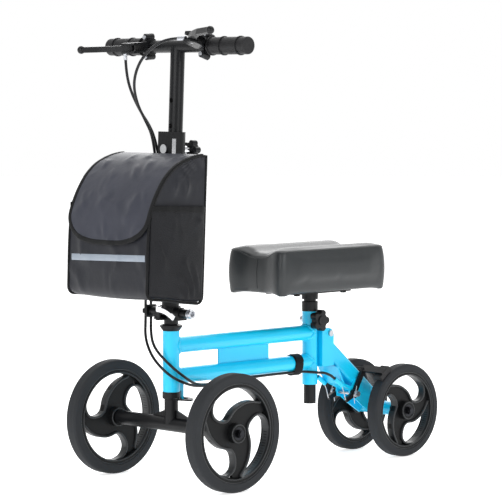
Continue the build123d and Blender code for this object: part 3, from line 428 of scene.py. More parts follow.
# %% Finishes onto solids
FINISH_OF = {
    "blue_paint": blue_powder_coat, "black_paint": black_powder_coat, "black_plastic": moulded_nylon,
    "rim_plastic": rim_nylon, "tyre": cast_polyurethane, "grip_rubber": grip_rubber,
    "cable_sheath": cable_sheath, "bright_steel": zinc_steel, "chrome": polished_chrome,
}
dressed = {}
for solid, made in nodes.items():
    slot = made.data.materials[0].name if made.data.materials else ""
    for name, material in FINISH_OF.items():
        if slot.startswith(name):
            made.data.materials.clear()
            made.data.materials.append(material)
            dressed[solid] = name
for solid in ("front_axle", "rear_axle", "front_wheel_bearings", "rear_wheel_bearings"):
    nodes[solid].data.materials.clear()
    nodes[solid].data.materials.append(black_oxide)
print("dressed:", len(dressed), "not dressed:", sorted(set(nodes) - set(dressed)))

# %% [markdown]
# ### Fabrics and vinyl
# The bag is coated nylon: a fine plain weave, half a millimetre from thread to thread, with a slight
# sheen from its coating. Straps and bindings are woven in ribs across their length, so their pattern
# follows the strap and reads the strap's own map. The pocket is a knitted net. The pad's cover is
# grained vinyl, whose pebbles are about 1.5 mm wide. Weave and grain are drawn as bumps, because a
# thread is far too small to build.

# %% Fabrics and vinyl
def woven(tree, places, spacing):
    """The height of a plain weave, from two crossing sets of threads this far apart in millimetres."""
    scale = per_mm(spacing) / 6.28
    warp = add(tree, "TexWave", {"Vector": places, "Scale": scale, "Distortion": 0.4}, bands_direction="X")
    weft = add(tree, "TexWave", {"Vector": places, "Scale": scale, "Distortion": 0.4}, bands_direction="Z")
    return add(tree, "Math", {0: warp.outputs["Fac"], 1: weft.outputs["Fac"]}, operation="MULTIPLY")


coated_nylon, tree, shader = finish("coated_nylon_weave", 0.42, Sheen_Weight=0.03, Sheen_Roughness=0.4,
                                    Specular_IOR_Level=0.3)
places, cloud = mottled(tree, shader, "14151b", "1e2027", 55)
weave = woven(tree, places, 0.9)
rumple = add(tree, "TexNoise", {"Vector": places, "Scale": per_mm(26), "Detail": 2.0})
first = bumped(tree, shader, rumple.outputs["Fac"], 1.6, 0.5)
bumped(tree, shader, weave.outputs["Value"], 0.12, 0.7, after=first)
varied(tree, shader, cloud.outputs["Fac"], 0.36, 0.5)

flap_nylon = coated_nylon.copy()
flap_nylon.name = "coated_nylon_flap"
for made in flap_nylon.node_tree.nodes:
    if made.type == "MIX":
        made.inputs[6].default_value = linear("2d2f38")
        made.inputs[7].default_value = linear("393b45")

net, tree, shader = finish("knitted_nylon_net", 0.6, Sheen_Weight=0.03, Specular_IOR_Level=0.2)
places, cloud = mottled(tree, shader, "0f1013", "17181c", 40)
pitted(tree, shader, places, 1.8, 0.5, 0.9)

webbing, tree, shader = finish("ribbed_polyester_webbing", 0.64, Sheen_Weight=0.03, Specular_IOR_Level=0.18)
places, cloud = mottled(tree, shader, "08090a", "101113", 20)
along = add(tree, "UVMap").outputs["UV"]
ribs = add(tree, "TexWave", {"Vector": along, "Scale": per_mm(1.6) / 6.28}, bands_direction="X")
bumped(tree, shader, ribs.outputs["Fac"], 0.25, 0.8)

reflective_tape, tree, shader = finish("glass_bead_reflective_tape", 0.35, metallic=0.2)
places, cloud = mottled(tree, shader, "828c98", "98a1ac", 30)
pitted(tree, shader, places, 1.2, 0.06)

grained_vinyl, tree, shader = finish("grained_black_vinyl", 0.36, Coat_Weight=0.22, Coat_Roughness=0.24,
                                     Specular_IOR_Level=0.42)
places, cloud = mottled(tree, shader, "1f2325", "2a2d2f", 70)
pebbles = add(tree, "TexVoronoi", {"Vector": places, "Scale": per_mm(1.5)}, feature="SMOOTH_F1")
pulls = add(tree, "TexNoise", {"Vector": places, "Scale": per_mm(30), "Detail": 1.0})
first = bumped(tree, shader, pulls.outputs["Fac"], 0.8, 0.5)
bumped(tree, shader, pebbles.outputs["Distance"], 0.18, 0.7, after=first)
varied(tree, shader, pebbles.outputs["Distance"], 0.4, 0.54)
print("fabrics: 6")

# %% [markdown]
# ## Tools for soft pieces
# Three tasks come up again and again. A grid of places becomes a panel of cloth. A short outline carried
# along a line becomes a strap, a binding or a cord of piping. And cloth that is pulled or stuffed shows
# creases, which are ridges that run one way and fade in and out.

# %% Panel, band and creases
def finished(name, places, faces, material, smooth=60, maps=None):
    """An object made of these places in metres, with its faces turned outwards and one finish."""
    mesh = bpy.data.meshes.new(name)
    mesh.from_pydata([tuple(p) for p in places], [], faces)
    if maps is not None:
        layer = mesh.uv_layers.new(name="UVMap")
        for loop in mesh.loops:
            layer.data[loop.index].uv = maps[loop.vertex_index]
    piece = bpy.data.objects.new(name, mesh)
    bpy.context.scene.collection.objects.link(piece)
    mesh.materials.append(material)
    choose(piece)
    bpy.ops.object.mode_set(mode="EDIT")
    bpy.ops.mesh.select_all(action="SELECT")
    bpy.ops.mesh.remove_doubles(threshold=0.00005)
    bpy.ops.mesh.normals_make_consistent(inside=False)
    bpy.ops.object.mode_set(mode="OBJECT")
    bpy.ops.object.shade_smooth_by_angle(angle=radians(smooth))
    return piece


def panel(name, columns, rows, place, material, thickness):
    """A sheet of cloth: place(u, v) gives a place for u and v from 0 to 1. It gets a thickness in mm."""
    grid = [place(i / columns, j / rows) for j in range(rows + 1) for i in range(columns + 1)]
    wide = columns + 1
    faces = [(a, a + 1, a + 1 + wide, a + wide)
             for j in range(rows) for a in range(j * wide, j * wide + columns)]
    piece = finished(name, grid, faces, material)
    use(piece, "SOLIDIFY", thickness=thickness * MM, offset=0.0)
    return piece


def use(piece, kind, **settings):
    """Adds a modifier, sets it and applies it."""
    modifier = piece.modifiers.new(kind.lower(), kind)
    for name, value in settings.items():
        setattr(modifier, name, value)
    choose(piece)
    bpy.ops.object.modifier_apply(modifier=modifier.name)


def rounded(width, height, radius, steps=3):
    """The outline of a rounded bar, in millimetres, as (across, out) pairs."""
    outline = []
    for quarter, (sx, sy) in enumerate(((1, 1), (-1, 1), (-1, -1), (1, -1))):
        for step in range(steps + 1):
            angle = pi / 2 * (quarter + step / steps)
            outline.append((sx * (width / 2 - radius) + radius * cos(angle),
                            sy * (height / 2 - radius) + radius * sin(angle)))
    return outline


def band(name, line, outs, outline, material, closed=False, smooth=60):
    """Carries an outline along a line of places in metres. outs gives the outward direction at each."""
    count, wide = len(line), len(outline)
    places, maps, travelled = [], [], 0.0
    for i, (here, out) in enumerate(zip(line, outs)):
        before = line[i - 1] if i or closed else here
        after = line[(i + 1) % count] if i + 1 < count or closed else here
        ahead = (after - before).normalized()
        across = out.cross(ahead).normalized()
        travelled += (here - line[i - 1]).length if i else 0
        for j, (a, o) in enumerate(outline):
            places.append(here + (across * a + out * o) * MM)
            maps.append((travelled, j / wide * 0.01))
    faces = [(i * wide + j, i * wide + (j + 1) % wide, (i + 1) % count * wide + (j + 1) % wide,
              (i + 1) % count * wide + j) for i in range(count if closed else count - 1) for j in range(wide)]
    if not closed:
        faces += [tuple(range(wide)), tuple(range((count - 1) * wide, count * wide))]
    return finished(name, places, faces, material, smooth, maps)


def creases(place, lean, spacing, seed):
    """The height, 0 to 1, of creases that run at an angle on a panel, from a place on it in millimetres."""
    a, b = place
    shift = noise.noise((a / 50, b / 50, seed)) * 1.1
    across = (a * cos(lean) + b * sin(lean)) / spacing + shift
    ridge = 1 - abs(2 * (across % 1) - 1)
    patch = max(0.0, noise.noise((a / 42 + 7, b / 42, seed + 3)) + 0.12)
    return ridge ** 2 * min(1.0, patch * 2.2)


def smooth_step(low, high, value):
    """0 below low, 1 above high, and an even ramp in between."""
    t = min(1.0, max(0.0, (value - low) / (high - low)))
    return t * t * (3 - 2 * t)


print("a 9 by 3 mm binding has", len(rounded(9, 3, 1.4)), "points in its outline")

# %% [markdown]
# ## The knee pad
# The pad is a block of foam in a sewn vinyl cover, screwed to a board. The cover's top panel dips in the
# middle to hold the shin, so its front and back ends show a shallow V. Stuffing rounds the sides, the
# corners stay rounded, and the cover's hem peeks out in small points under the corners.
# It starts as a cube that is subdivided and pushed to the pad's outline. A short cloth simulation with
# air pressure inside then swells it, which gives the slight, uneven fullness that no formula has. How far
# each point may move is capped, so that the dip isn't blown flat. The seams come last, on the final skin.

# %% Pad outline
PAD_HALF_WIDTH, PAD_HALF_LENGTH, PAD_MIDDLE_Y, PAD_CORNER = 69.0, 134.0, 108.5, 13.0
PAD_BOTTOM, PAD_TOP, PAD_DIP = 318.5, 398.0, 11.0


def corner(a, b, half_a, half_b, radius):
    """Moves a point of a rectangle so that the rectangle's corners become round."""
    over_a, over_b = abs(a) - (half_a - radius), abs(b) - (half_b - radius)
    if over_a <= 0 or over_b <= 0:
        return a, b
    pull = max(over_a, over_b) / hypot(over_a, over_b)
    return ((half_a - radius + over_a * pull) * (1 if a > 0 else -1),
            (half_b - radius + over_b * pull) * (1 if b > 0 else -1))


def pad_top_at(x):
    """The height of the pad's top panel across its width."""
    return PAD_TOP - PAD_DIP * (1 - smooth_step(8, 52, abs(x)))


def cut_cube(name, cuts):
    """A cube 2 across, with every edge cut this many times."""
    bpy.ops.object.select_all(action="DESELECT")
    bpy.ops.mesh.primitive_cube_add(size=2)
    cube = bpy.context.object
    cube.name = name
    bpy.ops.object.mode_set(mode="EDIT")
    bpy.ops.mesh.select_all(action="SELECT")
    bpy.ops.mesh.subdivide(number_cuts=cuts)
    bpy.ops.mesh.select_all(action="DESELECT")
    bpy.ops.object.mode_set(mode="OBJECT")
    return cube


knee_cushion = cut_cube("knee_cushion", 23)
for point in knee_cushion.data.vertices:
    x, y, z = point.co.x * PAD_HALF_WIDTH, point.co.y * PAD_HALF_LENGTH, (point.co.z + 1) / 2
    x, y = corner(x, y, PAD_HALF_WIDTH, PAD_HALF_LENGTH, PAD_CORNER)
    full = sin(pi * min(1.0, z + 0.06)) ** 0.7 if z < 0.94 else 0.0
    x += 3.2 * full * smooth_step(50, PAD_HALF_WIDTH, abs(x)) * (1 if x > 0 else -1)
    y += 4.2 * full * smooth_step(100, PAD_HALF_LENGTH, abs(y)) * (1 if y > 0 else -1)
    dent = 8.5 * (1 - smooth_step(22, 56, abs(x))) * smooth_step(80, PAD_HALF_LENGTH, abs(y))
    edge = max(smooth_step(PAD_HALF_WIDTH - 9, PAD_HALF_WIDTH, abs(x)),
               smooth_step(PAD_HALF_LENGTH - 9, PAD_HALF_LENGTH, abs(y)))
    hem = 4.5 * smooth_step(40, 66, abs(x)) * smooth_step(104, 130, abs(y)) * (1 - smooth_step(0, 0.14, z))
    height = PAD_BOTTOM + (pad_top_at(x) - PAD_BOTTOM) * z - 2.5 * edge * smooth_step(0.9, 1, z) - hem
    y -= dent * (1 if y > 0 else -1)
    point.co = mm(x, PAD_MIDDLE_Y + y, height)
print("pad before stuffing:", len(knee_cushion.data.polygons), "faces")

# %% Stuffing the pad
# the skin is remeshed in squares of this size, blown up for some frames, and held back underneath
PAD_VOXEL, AIR_PRESSURE, CLOTH_QUALITY, CLOTH_FRAMES = 4, 4, 5, 20
PAD_SWELL_CAP, UNDERSIDE, UNDERSIDE_SHARE = 3.5, 4, 0.15
use(knee_cushion, "REMESH", mode="VOXEL", voxel_size=PAD_VOXEL * MM)
start = [p.co.copy() for p in knee_cushion.data.vertices]
outwards = [p.normal.copy() for p in knee_cushion.data.vertices]
cloth = knee_cushion.modifiers.new("stuffing", "CLOTH")
cloth.settings.use_pressure = True
cloth.settings.uniform_pressure_force = AIR_PRESSURE
cloth.settings.effector_weights.gravity = 0
cloth.settings.quality = CLOTH_QUALITY
for moment in range(1, CLOTH_FRAMES + 1):
    bpy.context.scene.frame_set(moment)
held = knee_cushion.evaluated_get(bpy.context.evaluated_depsgraph_get()).to_mesh()
swollen = [p.co.copy() for p in held.vertices]
knee_cushion.modifiers.remove(cloth)
bpy.context.scene.frame_set(1)
most = 0.0
for point, out, before, after in zip(knee_cushion.data.vertices, outwards, start, swollen):
    swell = (after - before).dot(out)
    most = max(most, swell)
    swell = min(max(swell, 0.0), PAD_SWELL_CAP * MM)
    if before.z < (PAD_BOTTOM + UNDERSIDE) * MM:
        swell *= UNDERSIDE_SHARE
    point.co = before + out * swell
print("the skin wanted to move up to", round(most / MM, 1), "mm")
use(knee_cushion, "SMOOTH", factor=0.5, iterations=6)
use(knee_cushion, "SUBSURF", levels=1, render_levels=1)
bpy.ops.object.shade_smooth()
knee_cushion.data.materials.append(grained_vinyl)
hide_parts("knee_pad")
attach(knee_cushion, "seat")
print("pad:", len(knee_cushion.data.polygons), "faces")

# %% [markdown]
# The cover is sewn from a top panel and a side strip, and the strip is joined in the middle of the front.
# Each seam shows as a thin raised cord with a shadow beside it. Both lines are laid on the stuffed skin
# by looking for its nearest place, so they follow every swelling.

# %% Seams of the pad
def laid_on(piece, places):
    """The nearest places on a piece's skin, and its directions there."""
    line, outs = [], []
    for place in places:
        spot, out = piece.closest_point_on_mesh(place)[1:3]
        line.append(spot.copy())
        outs.append(out.copy())
    return line, outs


perimeter = []
PERIMETER_STEPS = 150
for step in range(PERIMETER_STEPS):
    turn = 2 * pi * step / PERIMETER_STEPS
    far = 1 / max(abs(cos(turn)) / (PAD_HALF_WIDTH + 1), abs(sin(turn)) / (PAD_HALF_LENGTH + 1))
    x, y = corner(far * cos(turn), far * sin(turn), PAD_HALF_WIDTH + 1, PAD_HALF_LENGTH + 1, PAD_CORNER)
    perimeter.append(mm(x, PAD_MIDDLE_Y + y, pad_top_at(x) - 3))
line, outs = laid_on(knee_cushion, perimeter)
top_seam = band("pad_top_seam", line, outs, rounded(2.0, 1.8, 0.85), grained_vinyl, closed=True)
line, outs = laid_on(knee_cushion, [mm(0, PAD_MIDDLE_Y - PAD_HALF_LENGTH - 2, PAD_TOP - PAD_DIP - 3 - 2.6 * k)
                                    for k in range(24)])
front_seam = band("pad_front_seam", line, outs, rounded(1.8, 1.6, 0.75), grained_vinyl)
for seam in (top_seam, front_seam):
    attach(seam, "seat")
print("seam length in mm:", round(length_of(perimeter) / MM))

# %% [markdown]
# ## The bag
# The bag is a boxy nylon pouch strapped to the front of the column. Its back is flat against the column,
# its front and sides belly out a little, its roof is a quarter-round, and a rounded flap comes over the
# roof and down the front. It is a shell, not a block: when the flap is lifted, one looks inside.
# A cube is subdivided and pushed to the pouch's outline, the faces under the flap are deleted to leave
# its mouth, and the skin is given a thickness. Bellies, sags and creases are worked out point by point.

# %% Outline of the bag, in the column's directions
BAG_HALF, BAG_BACK, BAG_BOTTOM = 102.0, 20.0, 30.0
SIDE_POINTS = [(147, 30), (147, 66), (147.5, 102), (147, 138), (144.5, 164), (136, 189), (125, 211),
               (110.5, 232), (92, 249), (73, 259.5), (54, 266.5), (36, 270.5), (20, 272)]
FINE = 24


def curve_through(points, steps):
    """A smooth line through these points, with this many steps from each point to the next."""
    line = []
    for i in range(len(points) - 1):
        before, here = points[max(0, i - 1)], points[i]
        there, after = points[i + 1], points[min(len(points) - 1, i + 2)]
        for k in range(steps):
            t = k / steps
            line.append(tuple(0.5 * (2 * q + (r - p) * t + (2 * p - 5 * q + 4 * r - s) * t * t
                                     + (3 * q - p - 3 * r + s) * t ** 3)
                              for p, q, r, s in zip(before, here, there, after)))
    return line + [tuple(points[-1])]


side_line = curve_through(SIDE_POINTS, FINE)
side_travel = [0.0]
for here, there in zip(side_line, side_line[1:]):
    side_travel.append(side_travel[-1] + hypot(there[0] - here[0], there[1] - here[1]))
ROOF_END = side_travel[-1]


def travel_at(up):
    """How far along the side outline a height on the front is."""
    return next(travel for (ahead, here), travel in zip(side_line, side_travel) if here >= up)


def bag_side_path(travel, out=0.0):
    """How far ahead and up the bag's side outline is, this far along it from the bottom of the front.
    It can be drawn larger by some millimetres. Also returns the outward direction."""
    travel = min(ROOF_END - 0.01, max(0.0, travel))
    i = next(k for k in range(len(side_travel) - 1) if side_travel[k + 1] > travel)
    share = (travel - side_travel[i]) / (side_travel[i + 1] - side_travel[i])
    before, after = side_line[max(0, i - 3)], side_line[min(len(side_line) - 1, i + 4)]
    run = hypot(after[0] - before[0], after[1] - before[1])
    direction = ((after[1] - before[1]) / run, (before[0] - after[0]) / run)
    ahead = side_line[i][0] + (side_line[i + 1][0] - side_line[i][0]) * share
    up = side_line[i][1] + (side_line[i + 1][1] - side_line[i][1]) * share
    return ahead + direction[0] * out, up + direction[1] * out, direction


BAG_TOP, BAG_FRONT, ARC_UP = SIDE_POINTS[-1][1], 147.0, 150.0
STRAIGHT = travel_at(ARC_UP)
MOUTH = travel_at(ARC_UP + 30)
print("roof ends after", round(ROOF_END), "mm, mouth at", round(MOUTH))


def sagged(x, ahead, up):
    """The bag's bottom hangs lower in the middle and at the back, where the load sits."""
    low = 1 - smooth_step(BAG_BOTTOM, BAG_BOTTOM + 90, up)
    back = (BAG_FRONT - ahead) / (BAG_FRONT - BAG_BACK)
    return up - low * (3 * (1 - (x / BAG_HALF) ** 2) + 9 * back * smooth_step(-0.2, 0.7, back * abs(x) / BAG_HALF))


def front_belly(x, up):
    """How far the front panel bellies out, with its creases, in millimetres."""
    u, v = x / BAG_HALF, (up - BAG_BOTTOM) / (ARC_UP - BAG_BOTTOM)
    soft = max(0.0, 1 - u * u) * max(0.0, 1 - (2 * v - 1) ** 2)
    edge = smooth_step(0, 0.12, v) * (1 - smooth_step(0.7, 1, v))
    return 3.5 * soft + 3.0 * creases((x, up), 0.35, 34, 4.0) * edge


def side_belly(ahead, up):
    """How far a side panel bellies out, with its creases, in millimetres."""
    u = (ahead - BAG_BACK) / (BAG_FRONT - BAG_BACK)
    v = (up - BAG_BOTTOM) / (BAG_TOP - BAG_BOTTOM)
    edge = smooth_step(0, 0.14, u) * (1 - smooth_step(0.86, 1, u)) * smooth_step(0, 0.08, v)
    soft = max(0.0, 1 - (2 * u - 1) ** 2) * max(0.0, 1 - (2 * v - 0.9) ** 2)
    return 2.5 * soft + 4.6 * edge * creases((ahead, up), -0.5, 24, 9.0)


pouch = cut_cube("bag_pouch", 39)
for face in pouch.data.polygons:
    travel = (face.center.z + 1) / 2 * ROOF_END
    face.select = face.center.z > 0.99 or (face.center.y < -0.99 and travel > MOUTH)
bpy.ops.object.mode_set(mode="EDIT")
bpy.ops.mesh.delete(type="FACE")
bpy.ops.object.mode_set(mode="OBJECT")
for point in pouch.data.vertices:
    a, b, c = point.co
    front, up, out = bag_side_path((c + 1) / 2 * ROOF_END)
    back = min(BAG_BACK, front - 2)
    x, ahead = a * (BAG_HALF - 1), front + (back - front) * (b + 1) / 2
    if b < -0.99:
        ahead += front_belly(x, up) if up < ARC_UP else 0
    if abs(a) > 0.99:
        x += side_belly(ahead, up) * (1 if a > 0 else -1)
    half_ahead, half_up = (BAG_FRONT - BAG_BACK) / 2, (BAG_TOP - BAG_BOTTOM) / 2
    middle_ahead, middle_up = BAG_BACK + half_ahead, BAG_BOTTOM + half_up
    if up < middle_up:
        x, new_up = corner(x, up - middle_up, BAG_HALF, half_up, 11)
        ahead, new_up = corner(ahead - middle_ahead, new_up, half_ahead, half_up, 13)
        ahead, up = ahead + middle_ahead, new_up + middle_up
    point.co = on_column(x, ahead, sagged(x, ahead, up))
pouch.data.materials.append(coated_nylon)
use(pouch, "SOLIDIFY", thickness=1.6 * MM, offset=-1.0)
use(pouch, "SMOOTH", factor=0.4, iterations=1)
bpy.ops.object.shade_smooth_by_angle(angle=radians(60))
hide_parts("bag_body")
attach(pouch, "column")
print("pouch:", len(pouch.data.polygons), "faces")

# %% [markdown]
# ### The flap
# The flap is a single padded panel with a wide binding sewn round its free edge. It follows the roof a
# few millimetres outside it and ends in a wide, round tip. Where it bends over the roof the cloth is
# short of length, so it pulls into slanting creases. The panel is a grid whose columns draw together
# towards the tip. The binding is a flat bar carried round the same edge, and rides with the flap.

# %% Flap
FLAP_OUT, FLAP_TIP_UP, FLAP_SHOULDER_UP, FLAP_BACK = 2.4, 119.0, 172.0, 30.0
FLAP_START = ROOF_END - (FLAP_BACK - BAG_BACK)
FLAP_SHOULDER = travel_at(FLAP_SHOULDER_UP)
FLAP_TIP = travel_at(FLAP_TIP_UP)


def flap_place(x, travel, lift=0.0):
    """A place on the flap, and its outward direction: x across, and travel along the bag's outline."""
    along = min(1.0, max(0.0, (FLAP_START - travel) / (FLAP_START - FLAP_TIP)))
    puff = 2.2 * max(0.0, 1 - (x / BAG_HALF) ** 2) * sin(pi * along) ** 0.8
    under = front_belly(x, bag_side_path(travel)[1]) if travel < STRAIGHT else 0
    bend = smooth_step(0.04, 0.2, along) * (1 - smooth_step(0.5, 0.85, along))
    front = smooth_step(0.3, 0.6, along) * (1 - smooth_step(0.9, 1, along))
    pulled = 4.6 * creases((x, travel), 0.85, 27, 2.0) * bend
    rest = 2.0 * creases((x, travel), -0.2, 44, 6.0) * front
    inside = 1 - smooth_step(0.8, 0.97, abs(x) / BAG_HALF)
    out = FLAP_OUT + puff + under + (pulled + rest) * inside + 2.2 * smooth_step(0.8, 1, along) + lift
    ahead, up, direction = bag_side_path(travel, out)
    here = on_column(x, ahead, up)
    outward = on_column(x, ahead + direction[0], up + direction[1]) - here
    return here, outward.normalized()


def flap_edge(turn):
    """Across and along for the flap's rounded tip, from one shoulder at 0 to the tip at 90 degrees."""
    return (BAG_HALF + 1) * cos(turn) ** 0.8, FLAP_SHOULDER - (FLAP_SHOULDER - FLAP_TIP) * sin(turn) ** 0.8


FLAP_ROWS, FLAP_STRAIGHT_SHARE = 56, 0.62


def flap_grid(u, v):
    """A place on the flap panel, for u across and v from the hinge to the tip."""
    if v < FLAP_STRAIGHT_SHARE:
        half, travel = BAG_HALF + 1, FLAP_START + (FLAP_SHOULDER - FLAP_START) * v / FLAP_STRAIGHT_SHARE
    else:
        half, travel = flap_edge(radians(88.5) * (v - FLAP_STRAIGHT_SHARE) / (1 - FLAP_STRAIGHT_SHARE))
    return flap_place((2 * u - 1) * half, travel)[0]


flap_cloth = panel("bag_flap_panel", 44, FLAP_ROWS, flap_grid, flap_nylon, 2.4)
use(flap_cloth, "SUBSURF", levels=1, render_levels=1)
bpy.ops.object.shade_smooth()
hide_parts("bag_flap")

edge = [(BAG_HALF + 1, FLAP_START + (FLAP_SHOULDER - FLAP_START) * k / 36) for k in range(36)]
edge += [flap_edge(radians(90) * k / 36) for k in range(37)]
edge += [(-x, travel) for x, travel in reversed(edge[:-1])]
BINDING_WIDTH = 8.5
inner_edge = [(x * (1 - 2.6 / BAG_HALF), travel + 2.6 * (1 - abs(x) / BAG_HALF)) for x, travel in edge]
spots = [flap_place(x, travel) for x, travel in inner_edge]
flap_binding = band("bag_flap_binding", [s[0] for s in spots], [s[1] for s in spots],
                    rounded(BINDING_WIDTH, 4.2, 1.9), webbing)
for made in (flap_cloth, flap_binding):
    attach(made, "bag_flap")
print("flap:", len(flap_cloth.data.polygons), "faces, binding points:", len(spots))

# %% [markdown]
# ### Piping, mouth binding, reflective strip and pockets
# A cord of piping is sewn into the seam round each side panel, and keeps the box's shape. A reflective
# tape crosses the front below the flap. Each side has an open pocket of net with an elastic hem, which
# gathers the net and pulls it away from the bag a little.

# %% Piping round the side panels
def side_outline(count):
    """Places round a side panel: up the front, over the roof, down the back and along the bottom."""
    ring = [bag_side_path(ROOF_END * k / (count - 1)) for k in range(count)]
    down = count // 2
    ring += [(BAG_BACK, BAG_TOP - (BAG_TOP - BAG_BOTTOM) * k / down, (-1, 0)) for k in range(1, down)]
    ring += [(BAG_BACK + (BAG_FRONT - BAG_BACK) * k / down, BAG_BOTTOM, (0, -1)) for k in range(down)]
    half_ahead, half_up = (BAG_FRONT - BAG_BACK) / 2, (BAG_TOP - BAG_BOTTOM) / 2
    turned = []
    for ahead, up, out in ring:
        a, b = ahead - BAG_BACK - half_ahead, up - BAG_BOTTOM - half_up
        if b < 0:
            a, b = corner(a, b, half_ahead, half_up, 13)
        turned.append((a + BAG_BACK + half_ahead, b + BAG_BOTTOM + half_up, out))
    return turned


for side, name in ((1, "left"), (-1, "right")):
    outline = side_outline(70)
    line = [on_column(side * (BAG_HALF - 1.5), ahead, sagged(BAG_HALF, ahead, up)) for ahead, up, out in outline]
    outs = [Vector((side, 0, 0))] * len(line)
    piping = band(f"bag_{name}_piping", line, outs, rounded(4.6, 4.6, 2.2), webbing, closed=True)
    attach(piping, "column")
print("piping length in mm:", round(length_of(line) / MM))

# %% Binding round the mouth
MOUTH_AHEAD, MOUTH_UP = bag_side_path(MOUTH)[:2]
MOUTH_HALF, MOUTH_STEPS = BAG_HALF - 9, 40
mouth_line = [on_column(MOUTH_HALF * (2 * k / MOUTH_STEPS - 1), MOUTH_AHEAD - 1.5, MOUTH_UP)
              for k in range(MOUTH_STEPS + 1)]
mouth_binding = band("bag_mouth_binding", mouth_line, [COLUMN_AHEAD] * len(mouth_line),
                     rounded(9, 3.0, 1.4), webbing)
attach(mouth_binding, "column")

# %% Reflective tape
TAPE_LOW, TAPE_HIGH, TAPE_WIDTH = 93.0, 98.5, 11.0
TAPE_START, TAPE_END, TAPE_STEPS = -92, 96, 60
tape_line = []
for k in range(TAPE_STEPS + 1):
    x = TAPE_START + (TAPE_END - TAPE_START) * k / TAPE_STEPS
    up = TAPE_LOW + (TAPE_HIGH - TAPE_LOW) * k / TAPE_STEPS
    tape_line.append(on_column(x, BAG_FRONT + front_belly(x, up) + 0.3, up))
reflective_strip = band("bag_reflective_strip", tape_line, [COLUMN_AHEAD] * len(tape_line),
                        rounded(TAPE_WIDTH, 1.6, 0.5), reflective_tape)
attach(reflective_strip, "column")
print("tape length in mm:", round(length_of(tape_line) / MM))

# %% Side pockets
POCKET_TOP, POCKET_BOTTOM = 184.0, 36.0


def pocket_place(side, u, v, lift=0.0):
    """A place on a side pocket, for u from its back to its front and v from its bottom to its hem."""
    ahead = BAG_BACK + 3 + (BAG_FRONT - BAG_BACK - 6) * u
    up = POCKET_BOTTOM + (POCKET_TOP - POCKET_BOTTOM) * v
    loose = sin(pi * u) ** 0.6 * smooth_step(0, 0.35, v)
    gather = creases((ahead, up), 0.1, 13, 5.0) * 1.8 * smooth_step(0.3, 0.9, v) * sin(pi * u)
    out = BAG_HALF + 0.6 + side_belly(ahead, up) + loose * (3.4 + 1.5 * v) + gather + lift
    return on_column(side * out, ahead, sagged(BAG_HALF, ahead, up))


for side, name in ((1, "left"), (-1, "right")):
    pocket = panel(f"bag_{name}_pocket", 40, 34, lambda u, v: pocket_place(side, u, v), net, 1.0)
    hem_line = [pocket_place(side, k / 40, 0.985, 0.4) for k in range(41)]
    hem = band(f"bag_{name}_pocket_hem", hem_line, [Vector((side, 0, 0))] * 41, rounded(10, 2.6, 1.2), webbing)
    for made in (pocket, hem):
        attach(made, "column")
print("pocket hem in mm:", round(length_of(hem_line) / MM))

# %% [markdown]
# ### Straps
# Two webbing straps go round the column and hold the bag. A third, with a hook-and-loop end, ties the
# cables to the frame's lower tube. Each is a flat bar carried round a loop, and the third has its free
# end laid on the turn below.

# %% Straps round the column and the lower tube
COLUMN_LOOP, STRAP_WIDTH = 16.2, 25
for name, up in (("lower", 60.0), ("upper", 205.0)):
    middle = up + STRAP_WIDTH / 2
    turns = [radians(40 + 280 * k / 64) for k in range(65)]
    loop = [(COLUMN_LOOP * sin(angle), COLUMN_LOOP * cos(angle)) for angle in turns]
    loop = [(13.5, 26.0), (12.6, 20.0)] + loop + [(-12.6, 20.0), (-13.5, 26.0)]
    line = [on_column(x, ahead, middle) for x, ahead in loop]
    outs = [(Vector((x, 0, 0)) + COLUMN_AHEAD * ahead).normalized() for x, ahead in loop]
    strap = band(f"bag_{name}_strap", line, outs, rounded(STRAP_WIDTH, 1.8, 0.8), webbing)
    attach(strap, "column")
    if name == "lower":
        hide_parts("bag_straps")

TUBE_Z, TIE_RADIUS, TIE_DROP, STRAP_Y = 185.5, 15.0, 6.6, 73.5
hull = []
for k in range(96):
    angle = radians(-90 + 360 * k / 96)
    x, z = TIE_RADIUS * cos(angle), TIE_RADIUS * sin(angle)
    hull.append((x, z - TIE_DROP * smooth_step(0, 14, -z)))
line = [mm(x, STRAP_Y, TUBE_Z + z) for x, z in hull]
outs = [Vector((x, 0, z + 3)).normalized() for x, z in hull]
cable_tie = band("cable_tie_strap", line, outs, rounded(20, 1.8, 0.8), webbing, closed=True)
TAIL_RADIUS = 15.6
tail = [(TAIL_RADIUS * cos(radians(a)), TAIL_RADIUS * sin(radians(a))) for a in range(100, 8, -6)]
tail_line = [mm(x + 1.0, STRAP_Y, TUBE_Z + z + 0.6) for x, z in tail]
tail_outs = [Vector((x, 0, z)).normalized() for x, z in tail]
tie_tail = band("cable_tie_tail", tail_line, tail_outs, rounded(19, 1.6, 0.7), webbing)
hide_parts("cable_strap")
for made in (cable_tie, tie_tail):
    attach(made, "frame")
print("straps: 3")

# %% [markdown]
# ## The wheels
# Each rim is one moulding: a thin web with three comma-shaped openings, stiffened by a rolled rib round
# each opening and a step next to the tyre. The solid rim has the web, the openings and the hub. The ribs
# are what catches the light on the real wheel. Each is a rounded bar carried round the opening's own
# outline, a little proud of the web on both faces, and it turns with its wheel. Two thin raised rings
# mark where the tyre was cast on to the rim, and a third runs round the hub.

# %% Outline of one opening
COMMA_SCALE = 86.0


def comma():
    """Places round one opening of a rim of radius 86, as (radius, lag in degrees) pairs."""
    rim_arc = [(77.0, 84 - 80 * k / 22) for k in range(23)]
    lobe = curve_through([(77, 4), (72.5, -10), (64, -19.5), (54.5, -23), (44, -22), (35.5, -16.5), (31, -6)], 6)
    back = curve_through([(31, -6), (31.5, 4), (34, 14), (41, 31), (49.5, 48), (59, 62), (66, 71.6), (72.5, 80),
                          (77, 84)], 6)
    return rim_arc[:-1] + lobe[:-1] + back[:-1]


